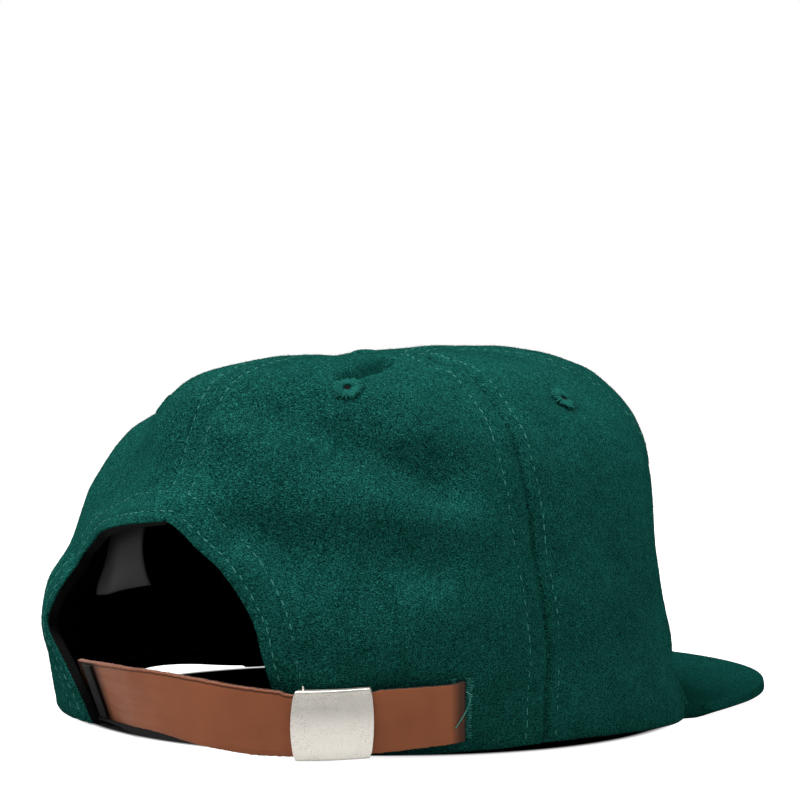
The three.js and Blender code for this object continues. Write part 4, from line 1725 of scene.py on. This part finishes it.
@dataclass
class Strap:
    """Leather strap with a smooth face and raw cut edges."""

    shop: Workshop
    curve: StrapCurve
    thick: float = 1.6
    cells: tuple[int, int] = (300, 10)
    bevel: float = 0.22
    cut_waves: int = 9
    cut_ways: tuple[float, float] = (0.5, 3.2)
    cut_deep: float = 0.018
    seed: int = 21
    fibres: int = 2200
    fibres_to: float = 92.0
    fibres_on_top: float = 0.75
    fibre_inset: float = 0.05
    fibre_out: float = 0.75
    fibre_lean: float = 0.7
    fibre_long: tuple[float, float] = (0.2, 0.55)
    fibre_thin: float = 0.045
    clear: float = 0.0002

    def build(self) -> None:
        """Makes the strap and the fluff along its cut edges."""
        curve, half = self.curve, self.thick / 2
        rng = np.random.default_rng(self.seed)
        wobble = [(rng.uniform(*self.cut_ways), rng.uniform(0, FULL_PHASE)) for _ in range(self.cut_waves)]

        def place(u: Array, v: Array) -> Array:
            """Points of the sheet."""
            along = u * curve.length
            rough = sum(np.sin(along * k + phase) for k, phase in wobble) * self.cut_deep
            up = v * curve.width(along) + rough * (2 * v - 1)
            return curve.at(along, up, np.full(len(u), half))

        obj = self.shop.mesher.grid("leather_strap", *self.cells, place)
        thicken(obj, self.thick * MM, inside=1)
        soften(obj, self.bevel * MM)
        self.shop.settle(obj, "leather", ["leather", "raw_leather"], "strap")
        self.fluff(rng)

    def fluff(self, rng: np.random.Generator) -> None:
        """Short fibres standing on the cut edges.

        Args:
            rng: Source of their differences.
        """
        n = self.fibres
        along = rng.uniform(0, self.fibres_to, n)
        top = rng.random(n) < self.fibres_on_top
        up = np.where(top, self.curve.width(along) - self.fibre_inset, self.fibre_inset)
        base = self.curve.at(along, up, rng.uniform(-self.fibre_out, self.fibre_out, n))
        lean = [*(rng.normal(0, self.fibre_lean, n) for _ in range(2)), np.where(top, 1.0, -1.0)]
        thin = np.full(n, self.fibre_thin)
        scale = np.stack([rng.uniform(*self.fibre_long, n), thin, thin], 1)
        about = unit(rng.normal(size=(n, 3)))
        places = frames_at(self.shop.frame.metres(base), unit(np.stack(lean, 1)), about, scale)
        standing = places[:, 2, 3] + places[:, 2, 0] > self.clear
        obj = self.shop.mesher.copies("strap_edge_fluff", hair(), places[standing])
        self.shop.settle(obj, "leather", ["raw_leather"])


@dataclass
class Buckle:
    """Satin metal sheet folded round the strap, its ends bellied out."""

    shop: Workshop
    curve: StrapCurve
    middle: float = 102.8
    half: float = 10.0
    bow: float = 0.6
    belly: float = 0.7
    belly_ends: tuple[float, float] = (0.06, 0.94)
    belly_curve: float = 1.4
    tall: float = 16.0
    ease: float = 0.3
    thick: float = 0.7
    lip: float = 5.0
    corner: float = 0.34
    round_points: int = 15
    clear: float = 1.1
    end_from: float = 0.93
    end_cut: float = 2.5
    bevel: float = 0.24
    cells: tuple[int, int] = (24, 110)
    pin_along: float = 94.9
    pin_out: float = -0.2
    pin_lean: float = 0.1
    pin_half: float = 0.7
    pin_thick: float = 0.32

    def path(self) -> Array:
        """Section of the sheet's outer face as up and out, from one back lip round to the other."""
        front = self.clear + self.thick
        low, high = -self.ease - self.thick, self.tall + self.ease + self.thick
        low, high = low + self.corner, high - self.corner
        angles = np.linspace(-math.pi / 2, math.pi / 2, self.round_points)
        face = []
        for share in np.linspace(*self.belly_ends, self.round_points):
            rise = self.belly * math.sin(math.pi * share) ** self.belly_curve
            face.append((mix(low, high, share), front + rise))
        lower, upper = self.fold(low, -1, angles, front), self.fold(high, 1, angles[::-1], front)
        return np.array([(self.lip, -front), *lower, *face, *upper, (self.tall - self.lip, -front)])

    def fold(self, centre_up: float, sign: int, angles: Array, front: float) -> list[tuple[float, float]]:
        """One rounded fold of the sheet, from the back to the front or the other way.

        Args:
            centre_up: Height of its middle.
            sign: 1 for the upper fold and -1 for the lower one.
            angles: Angles of its points.
            front: Depth of the sheet's front.

        Returns:
            Its points as up and out.
        """
        flat = max(0, front - self.corner)
        return [(centre_up + sign * self.corner * math.cos(a),
                 math.copysign(flat, a) + self.corner * math.sin(a)) for a in angles]

    def build(self) -> None:
        """Makes the folded sheet with a small pin behind it."""
        path = self.path()
        run = lengths_along(path)
        run /= run[-1]

        def place(u: Array, v: Array) -> Array:
            """Points of the sheet."""
            up, out = np.interp(v, run, path[:, 0]), np.interp(v, run, path[:, 1])
            tilt = 2 * up / self.tall - 1
            half = self.half + self.bow * np.maximum(0, 1 - tilt * tilt)
            cut = np.clip(np.abs(tilt) - self.end_from, 0, 1) * self.end_cut
            return self.curve.at(self.middle + (2 * u - 1) * (half - cut), up, out)

        obj = self.shop.mesher.grid("nickel_buckle", *self.cells, place, outside=False)
        self.turn_out(obj)
        thicken(obj, self.thick * MM)
        soften(obj, self.bevel * MM, 3)
        self.shop.settle(obj, "nickel", ["nickel"], "buckle")
        self.pin()

    def pin(self) -> None:
        """Small end of the clamp that shows above the sheet."""
        up = np.array([self.tall + 2 * self.pin_half])
        here = self.shop.frame.metres(self.curve.at(np.array([self.pin_along]), up, np.array([self.pin_out])))
        size = np.array([[self.pin_half, self.pin_thick, self.pin_thick]])
        place = frames_at(here, np.array([[self.pin_lean, 0.0, 1.0]]), np.array([[1.0, 0.0, 0.0]]), size)
        obj = self.shop.mesher.copies("buckle_pin_end", spindle(10, 8), place)
        self.shop.settle(obj, "nickel", ["nickel"])

    def turn_out(self, obj: Piece) -> None:
        """Turns the sheet's faces away from the strap inside it."""
        inside = self.curve.at(np.array([self.middle]), np.array([self.tall / 2]), np.array([0.0]))
        self.shop.mesher.face_out(obj.data, self.shop.frame.metres(inside)[0])


@dataclass
class Peak:
    """Flat peak of wool over a stiff board, with a rolled edge."""

    shop: Workshop
    half: float = 88.5
    centre: float = -44
    reach: float = 96
    square: float = 2.25
    thick: float = 2.9
    sewn: float = 66
    flat: float = 0.32
    lift: float = 1.4
    tuck: float = -1.3
    rim_heights: tuple[float, ...] = (0, 2, 4)
    closeness: float = 0.35
    cells: tuple[int, int] = (90, 40)
    obj: Piece | None = field(init=False, default=None)

    def build(self) -> None:
        """Makes the peak."""
        crown = self.shop.crown

        def place(u: Array, v: Array) -> Array:
            """Points of the sheet."""
            angle = np.radians(mix(-90, 90, u))
            c = np.abs(np.cos(angle)) ** (2 / self.square)
            s = np.sign(angle) * np.abs(np.sin(angle)) ** (2 / self.square)
            outside = np.stack([self.half * s, self.centre - self.reach * c, np.zeros(len(u))], 1)
            turn = mix(self.sewn, -self.sewn, u)
            levels = [crown.level_at(np.full(len(u), height)) for height in self.rim_heights]
            rims = [crown.point(turn, level, self.tuck, fine=False) for level in levels]
            far = [np.hypot(p[:, 0], p[:, 1]) for p in rims]
            pick = np.argmax(np.stack(far), 0)
            inside = np.stack(rims)[pick, np.arange(len(u))]
            inside[:, 2] = 0
            share = mix(v, np.sin(v * math.pi / 2), self.closeness)
            p = mix(inside, outside, share[:, None])
            past = np.clip((share - self.flat) / (1 - self.flat), 0, 1)
            p[:, 2] = self.thick + self.lift * past * past
            return p

        obj = self.shop.mesher.grid("wool_peak", *self.cells, place, outside=False)
        self.shop.mesher.face_out(obj.data, np.array([0.0, 0.0, -1.0]))
        thicken(obj, self.thick * MM)
        round_off(obj)
        self.obj = self.shop.settle(obj, "peak_wool", ["peak_wool"], "peak")


@dataclass
class Lining:
    """One dark skin behind all the panels, stopping short of the rear hem."""

    shop: Workshop
    start: float = 0.03
    ease: float = 1.5
    back: float = 19
    gap: float = 0.3
    thick: float = 1.0
    dent_spare: float = 2.6
    cells: tuple[int, int] = (110, 40)

    def build(self) -> None:
        """Makes the lining."""
        def place(u: Array, v: Array) -> Array:
            """Points of the sheet."""
            side = np.where(u <= 0.5, 1, -1)
            front_share = 1 - np.abs(u - 0.5) * 2
            points = np.empty((len(u), 3))
            for hand in Hand:
                mine = side == hand.value
                points[mine] = self.skin(hand, front_share[mine], v[mine])
            return points

        obj = self.shop.mesher.grid("black_lining", *self.cells, place)
        thicken(obj, self.thick * MM)
        round_off(obj)
        self.shop.settle(obj, "lining_cloth", ["lining"], "lining")

    def skin(self, hand: Hand, u: Array, v: Array) -> Array:
        """Outer face of one half of the lining.

        Args:
            hand: Its side of the wearer.
            u: 0 at the rear edge and 1 at the front middle.
            v: 0 at the rim and 1 at the button.

        Returns:
            The points.
        """
        crown = self.shop.crown
        rear_turn, rear_level = crown.rear_edge(v, hand)
        front = mix(self.start, crown.top, v)
        along = np.minimum(1, v * 2)
        back = self.back * np.cos(along * math.pi / 2) + self.gap
        turn = rear_turn - np.degrees(back / crown.reach(rear_turn, rear_level))
        level = mix(rear_level + self.start * (1 - u), front, np.minimum(1, u * 2))
        level = np.clip(level, self.start, crown.top)
        turn = hand.value * turn * (1 - u)
        p = crown.plain(turn, level)
        inward = crown.dents(p, self.dent_spare) - crown.wall(p) - self.ease
        return crown.point(turn, level, inward, fine=False)


@dataclass
class Labels:
    """Loop label over the strap and care label inside the opening, both left bare."""

    shop: Workshop
    curve: StrapCurve
    strap_half: float = 0.8
    loop_clear: float = 0.3
    loop_out: float = 0.6
    loop_bow: float = 0.35
    loop_thick: float = 0.75
    loop_bevel: float = 0.2
    loop_cells: tuple[int, int] = (12, 30)
    loop_from: float = 6.4
    loop_wide: float = 5.4
    loop_lean: float = 0.06
    loop_low: float = 0.6
    loop_tall: float = 15.0
    care_turns: tuple[float, float] = (-166, -141)
    care_sway: float = -4.5
    care_top: float = 61.5
    care_tall: float = 23
    care_slant: float = 5
    care_curl: float = 5
    care_behind: float = 3.5
    care_ripple: float = 0.25
    care_ripple_ways: tuple[float, float] = (6.0, 3.0)
    care_thick: float = 0.4
    care_cells: tuple[int, int] = (24, 24)
    measured_at: int = 20

    def build(self) -> None:
        """Makes both labels."""
        self.loop()
        self.care()

    def loop(self) -> None:
        """Woven loop that holds the strap's end against the hem."""
        base = self.strap_half + self.loop_clear + self.loop_out

        def place(u: Array, v: Array) -> Array:
            """Points of the sheet."""
            up = self.loop_low + v * self.loop_tall
            out = base + self.loop_bow * np.sin(math.pi * u)
            return self.curve.at(self.loop_from + self.loop_wide * u - self.loop_lean * up, up, out)

        obj = self.shop.mesher.grid("loop_tape", *self.loop_cells, place)
        thicken(obj, self.loop_thick * MM)
        soften(obj, self.loop_bevel * MM)
        self.shop.settle(obj, "loop_cloth", ["loop_tape"], "loop_label")

    def care(self) -> None:
        """Soft label that hangs from the lining, its lower end curling inward."""
        crown = self.shop.crown
        inset = crown.hem + self.care_behind
        ripple_u, ripple_v = self.care_ripple_ways

        def place(u: Array, v: Array) -> Array:
            """Points of the sheet."""
            level = crown.level_at(self.care_top - v * (self.care_tall - self.care_slant * (1 - u)))
            turn = mix(self.care_turns[0], self.care_turns[1], u) + self.care_sway * v
            inward = inset + self.care_curl * v * v + self.care_ripple * np.sin(ripple_u * u + ripple_v * v)
            return crown.point(turn, level, -inward, fine=False)

        obj = self.shop.mesher.grid("care_tape", *self.care_cells, place, outside=False)
        self.shop.mesher.face_out(obj.data, self.shop.mesher.middle)
        thicken(obj, self.care_thick * MM)
        self.shop.settle(obj, "label_cloth", ["care_tape"], "care_label")
        share = np.linspace(0, 1, self.measured_at)
        width = self.run(place, share, np.full(self.measured_at, 0.5))
        length = self.run(place, np.ones(self.measured_at), share)

    @staticmethod
    def run(place: Place, u: Array, v: Array) -> float:
        """Length of a line drawn on a sheet.

        Args:
            place: Function that lays the sheet.
            u: Places of the line across the sheet.
            v: Places of the line down the sheet.

        Returns:
            The length in metres.
        """
        return float(np.linalg.norm(np.diff(place(u, v), axis=0), axis=1).sum()) * MM


@dataclass
class TopButton:
    """Cloth-covered button in the dent at the top."""

    shop: Workshop
    tall: float = 4.2
    steps: int = 28
    section: tuple[tuple[float, float], ...] = (
        (1.6, -3.4), (1.6, -0.05), (5.4, 0.0), (6.05, 0.6), (6.2, 1.3), (5.75, 2.3), (4.4, 3.45), (2.4, 4.05),
        (0.0, 4.2))

    def build(self) -> None:
        """Makes the button from a spun section of radii and heights."""
        high = Vector(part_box("top_button")[1])
        seat = high.z / MM - self.tall
        bm = bmesh.new()
        verts = [bm.verts.new((r, 0, z)) for r, z in self.section]
        edges = [bm.edges.new(pair) for pair in zip(verts[:-1], verts[1:])]
        bmesh.ops.spin(bm, geom=verts + edges, cent=(0, 0, 0), axis=(0, 0, 1), angle=2 * math.pi,
                       steps=self.steps, use_merge=True)
        bmesh.ops.remove_doubles(bm, verts=bm.verts, dist=1e-4)
        bmesh.ops.holes_fill(bm, edges=[e for e in bm.edges if e.is_boundary])
        bmesh.ops.recalc_face_normals(bm, faces=bm.faces)
        obj = self.shop.mesher.link("wool_button", bm)
        co = self.shop.mesher.read(obj.data)
        co[:, 2] += seat
        self.shop.mesher.write(obj.data, self.shop.frame.metres(co))
        round_off(obj)
        self.shop.settle(obj, "button_wool", ["button_wool"], "top_button")


@dataclass
class StrapSlot:
    """Buttonhole stitches round the slit that the strap's end goes into, with one loose thread."""

    shop: Workshop
    pitch: float = 0.5
    # Distance from the slit and half-length of the stitches on each side of it.
    banks: tuple[tuple[float, float], ...] = ((-1.9, 1.25), (2.3, 0.9))
    past_ends: tuple[float, float] = (-0.4, 0.3)
    uneven: float = 0.08
    skew: float = 0.12
    probe: float = 0.4
    half_ends: tuple[float, float] = (0.85, 1.1)
    thick: tuple[float, float] = (0.2, 0.3)
    lift: float = 0.25
    sag: float = 0.7
    seed: int = 8
    thread_parts: int = 20
    thread_lap: float = 0.75
    thread_thin: float = 0.17
    thread_out: float = 2.7
    # Distance past the slit, height, and distance out of the loose thread's knots.
    droop: tuple[tuple[float, float, float], ...] = (
        (-0.4, 18.2, 0.5), (-1.4, 17.5, 1.0), (-1.3, 15.8, 1.3), (-0.7, 13.8, 1.6), (0.3, 12.0, 2.1),
        (1.4, 10.2, 2.3), (2.2, 8.8, 2.4))

    def build(self) -> None:
        """Makes the worked slit and the thread."""
        crown = self.shop.crown
        rng = np.random.default_rng(self.seed)
        low, high = (end + past for end, past in zip(crown.slot_heights, self.past_ends))
        heights = np.arange(low, high, self.pitch)
        rows = []
        for offset, half in self.banks:
            count = len(heights)
            level = crown.level_at(heights)
            r = crown.reach(np.full(count, crown.slot_turn), level)
            turn = crown.slot_turn + np.degrees((offset + rng.normal(0, self.uneven, count)) / r)
            here = crown.point(turn, level)
            up = crown.outward(turn, level)
            along = unit(crown.point(turn + self.probe, level) - here)
            along = unit(along + np.array([0, 0, 1.0]) * rng.normal(0, self.skew, (count, 1)))
            halves = half * rng.uniform(*self.half_ends, count)
            scale = np.stack([halves, *(np.full(count, thick) for thick in self.thick)], 1)
            rows.append(frames_at(self.shop.frame.metres(here + up * self.lift), along, up, scale))
        obj = self.shop.mesher.copies("slot_stitches", spindle(sag=self.sag), np.concatenate(rows))
        self.shop.settle(obj, "eyelet_thread", ["slot_thread"])
        obj = self.shop.mesher.copies("loose_thread", spindle(), self.loose_thread())
        self.shop.settle(obj, "eyelet_thread", ["thread"])

    def loose_thread(self) -> Array:
        """Placing matrices of the short pieces that make up the thread hanging by the slit."""
        crown = self.shop.crown
        knots = np.array(self.droop)
        share = np.linspace(0, len(knots) - 1, self.thread_parts + 1)
        past, high, proud = (np.interp(share, np.arange(len(knots)), knots[:, i]) for i in range(3))
        level = crown.level_at(high)
        turn = crown.slot_turn + np.degrees(past / crown.reach(np.full(len(high), crown.slot_turn), level))
        p = crown.point(turn, level, self.thread_out + proud, fine=False)
        middle, along = (p[1:] + p[:-1]) / 2, p[1:] - p[:-1]
        half = np.linalg.norm(along, axis=1) * self.thread_lap
        thin = np.full(len(half), self.thread_thin)
        up = crown.outward(turn[1:], level[1:])
        return frames_at(self.shop.frame.metres(middle), unit(along), up, np.stack([half, thin, thin], 1))


@dataclass
class Nap:
    """Loose wool fibres that stand off the cloth."""

    shop: Workshop
    density: float = 1.2
    thin: float = 0.024
    lift: float = 0.24
    long_shape: tuple[float, float] = (4.0, 0.25)
    long_ends: tuple[float, float] = (0.4, 2.4)
    clear: float = 0.0006
    first_seed: int = 100

    def build(self, panels: Sequence[Piece], peak: Piece) -> None:
        """Scatters fibres over the panels and the top of the peak.

        Args:
            panels: The six panels.
            peak: The peak.
        """
        for index, source in enumerate((*panels, peak)):
            rng = np.random.default_rng(self.first_seed + index)
            slot = "peak_wool" if source is peak else "wool"
            self.cover(source, slot, rng)

    def cover(self, source: Piece, slot: str, rng: np.random.Generator) -> None:
        """Fibres over one piece.

        Args:
            source: Piece whose own mesh is the outer face.
            slot: Material slot of the fibres.
            rng: Source of chance.
        """
        mesh = source.data
        mesh.calc_loop_triangles()
        tris = np.empty(len(mesh.loop_triangles) * 3, int)
        mesh.loop_triangles.foreach_get("vertices", tris)
        corner = self.shop.mesher.read(mesh)[tris.reshape(-1, 3)]
        cross = np.cross(corner[:, 1] - corner[:, 0], corner[:, 2] - corner[:, 0])
        area = np.linalg.norm(cross, axis=1) / 2
        count = int(area.sum() * SQUARE_MM * self.density)
        pick = rng.choice(len(area), count, p=area / area.sum())
        a, b = rng.random((2, count))
        flip = a + b > 1
        a, b = np.where(flip, 1 - a, a), np.where(flip, 1 - b, b)
        base = corner[pick, 0]
        origin = base + (corner[pick, 1] - base) * a[:, None] + (corner[pick, 2] - base) * b[:, None]
        normal = unit(cross[pick])
        flat = unit(np.cross(normal, unit(rng.normal(size=(count, 3)))))
        lift = np.abs(rng.normal(0.0, self.lift, (count, 1)))
        along = unit(flat + normal * lift)
        long = rng.gamma(*self.long_shape, count).clip(*self.long_ends)
        scale = np.stack([long, np.full(count, self.thin), np.full(count, self.thin)], 1)
        high = np.minimum(origin[:, 2], origin[:, 2] + along[:, 2] * long * MM) > self.clear
        places = frames_at(origin[high], along[high], normal[high], scale[high])
        obj = self.shop.mesher.copies(f"nap_{source.name}", hair(), places)
        self.shop.settle(obj, slot, ["nap"])


@dataclass(frozen=True)
class Softbox:
    """Round soft light: its place and size in metres, and its power in watts."""

    name: str
    place: Colour
    size: float
    power: float


SOFTBOXES = (
    Softbox("top_softbox", (0.40, 0.25, 1.5), 0.8, 34.0),
    Softbox("left_softbox", (0.55, 1.05, 1.0), 0.8, 6.0),
    Softbox("right_softbox", (-1.3, 0.1, 0.8), 0.8, 6.0),
    Softbox("front_softbox", (-0.7, -1.2, 0.9), 0.9, 7.0),
)


@dataclass
class Studio:
    """Pale floor, soft light and the photograph's camera."""

    frame: Frame
    floor_size: float = 20
    look_at: float = 0.050
    sensor: float = 36.0
    nearest: float = 0.01
    azimuth: float = 220.0
    elevation: float = 4.6
    distance: float = 0.70
    lens: float = 107.1
    shift: tuple[float, float] = (0.0425, 0.1719)
    ambient: float = 0.2

    def build(self, floor_material: Material) -> None:
        """Makes the camera, the floor, the lights and the surroundings.

        Args:
            floor_material: Finish of the floor.
        """
        self.camera()
        bm = bmesh.new()
        bmesh.ops.create_grid(bm, x_segments=1, y_segments=1, size=self.floor_size)
        floor = Mesher.link("floor", bm)
        floor.data.materials.append(floor_material)
        self.surround()
        for box in SOFTBOXES:
            self.area(box)

    def camera(self) -> None:
        """Camera at the photograph's angle to the cap."""
        data = bpy.data.cameras.new("camera")
        data.lens, data.sensor_width = self.lens, self.sensor
        data.shift_x, data.shift_y = self.shift
        data.clip_start = self.nearest
        obj = show("camera", data)
        a, e = math.radians(self.azimuth), math.radians(self.elevation)
        target = Vector((self.frame.shift[0], self.frame.shift[1], self.look_at))
        away = Vector((math.sin(a) * math.cos(e), -math.cos(a) * math.cos(e), math.sin(e)))
        obj.location = target + away * self.distance
        obj.rotation_euler = (-away).to_track_quat("-Z", "Y").to_euler()
        bpy.context.scene.camera = obj

    def area(self, box: Softbox) -> None:
        """Soft light that looks at the cap.

        Args:
            box: The light.
        """
        data = bpy.data.lights.new(box.name, "AREA")
        data.shape, data.size, data.energy = "DISK", box.size, box.power
        obj = show(box.name, data)
        obj.location = box.place
        toward = Vector((0, 0, self.look_at)) - Vector(box.place)
        obj.rotation_euler = toward.to_track_quat("-Z", "Y").to_euler()

    def surround(self) -> None:
        """Even white surroundings, brighter where the camera sees them."""
        world = bpy.data.worlds.new("studio")
        world.use_nodes = True
        tree = world.node_tree
        tree.nodes.clear()
        output = tree.nodes.new("ShaderNodeOutputWorld")
        chooser = tree.nodes.new("ShaderNodeMixShader")
        path = tree.nodes.new("ShaderNodeLightPath")
        for index, strength in ((1, self.ambient), (2, 1.0)):
            back = tree.nodes.new("ShaderNodeBackground")
            back.inputs["Color"].default_value = (1, 1, 1, 1)
            back.inputs["Strength"].default_value = strength
            tree.links.new(back.outputs["Background"], chooser.inputs[index])
        tree.links.new(path.outputs["Is Camera Ray"], chooser.inputs["Fac"])
        tree.links.new(chooser.outputs["Shader"], output.inputs["Surface"])
        bpy.context.scene.world = world
        bpy.context.scene.view_settings.view_transform = "Standard"


# The strap's row at the slit, and the shade's reach from it as a share of the strap's length.
SLOT_ROW = 15
SLOT_SHADE = 0.016
# Lengths along the strap where the loop label and the line along its top edge end, and where the painted
# shadow on the cut edge begins.
LABEL_END = 11.6
CUT_LINE_END = 103.0
# Reach of the shade beside the loop label, as a share of the label's end.
LABEL_SHADE = 1.45
# Turn and level of the eyelets, as on the wearer's right.
EYELETS = {Ring.BACK: (144.5, 0.612), Ring.SIDE: (88.5, 0.566), Ring.FRONT: (29.0, 0.6)}
EYELET_SEED = 50


def finishes(curve: StrapCurve) -> dict[str, Material]:
    """Every finish of the cap.

    Args:
        curve: Run of the strap, whose painted shades and edge line are placed by its length.

    Returns:
        The materials by their short names.
    """
    label, slot, line = LABEL_END / curve.length, curve.share_at(SLOT_ROW), CUT_LINE_END / curve.length
    # Painted shade on the strap beside the loop label and at the slit.
    painted_shades = ((label, label * LABEL_SHADE, 0.97), (slot, slot - SLOT_SHADE, 0.85))
    recipes = {
        "wool": WoolCloth("green_wool"),
        # The peak's wool is the crown's cloth painted darker, as painted shade on the peak.
        "peak_wool": WoolCloth("green_wool_peak", (0.0010, 0.0120, 0.0098), (0.0024, 0.040, 0.032),
                               (0.014, 0.120, 0.098)),
        "button_wool": WoolCloth("green_wool_button"),
        "nap": Thread("wool_fibre", (0.014, 0.180, 0.147), (0.002, 0.040, 0.032), 0.9, 0.0, 0.0),
        "thread": Thread("sewing_thread"),
        "eyelet_thread": Thread("eyelet_thread", (0.026, 0.21, 0.172), (0.002, 0.036, 0.03), 0.8, 0.0, 0.0),
        "slot_thread": Thread("slot_thread", (0.07, 0.34, 0.285), (0.005, 0.06, 0.05), 0.8, 0.0, 0.0),
        "leather": Leather("tan_leather", ends=painted_shades, line_to=line),
        "raw_leather": RawLeather("raw_leather", painted_shade_from=line),
        "nickel": SatinNickel("satin_nickel"),
        "loop_tape": WovenTape("black_tape", (0.0075, 0.0075, 0.008), (0.002, 0.002, 0.0025), (14, 40)),
        # The care label's white cloth is painted dark grey, as the shade inside the crown.
        "care_tape": WovenTape("care_tape_painted_shade", (0.022, 0.022, 0.0225), (0.015, 0.015, 0.0155), (60, 50)),
        "lining": LiningCloth("black_twill"),
        "floor": PaleFloor(),
    }
    return {name: recipe.make() for name, recipe in recipes.items()}


def main() -> None:
    """Builds the cap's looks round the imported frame."""
    logging.basicConfig(level=logging.INFO, format="%(name)s: %(message)s", stream=sys.stdout)
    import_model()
    frame = Frame()
    crown = Crown()
    curve = StrapCurve(crown)
    shop = Workshop(frame, crown, Mesher(frame), finishes(curve))
    Studio(frame).build(shop.finishes["floor"])
    panels = CrownPanels(shop)
    panels.build()
    Stitching(shop).build()
    seeds = count(EYELET_SEED)
    for ring, (turn, level) in EYELETS.items():
        for hand in Hand:
            name = f"eyelet_{ring.value}_{hand.word}"
            Eyelet(shop, name, hand.value * turn, level).build(next(seeds))
    peak = Peak(shop)
    peak.build()
    Strap(shop, curve).build()
    Buckle(shop, curve).build()
    StrapSlot(shop).build()
    Lining(shop).build()
    Labels(shop, curve).build()
    TopButton(shop).build()
    Nap(shop).build(panels.panels, peak.obj)


if __name__ == "__main__":
    main()
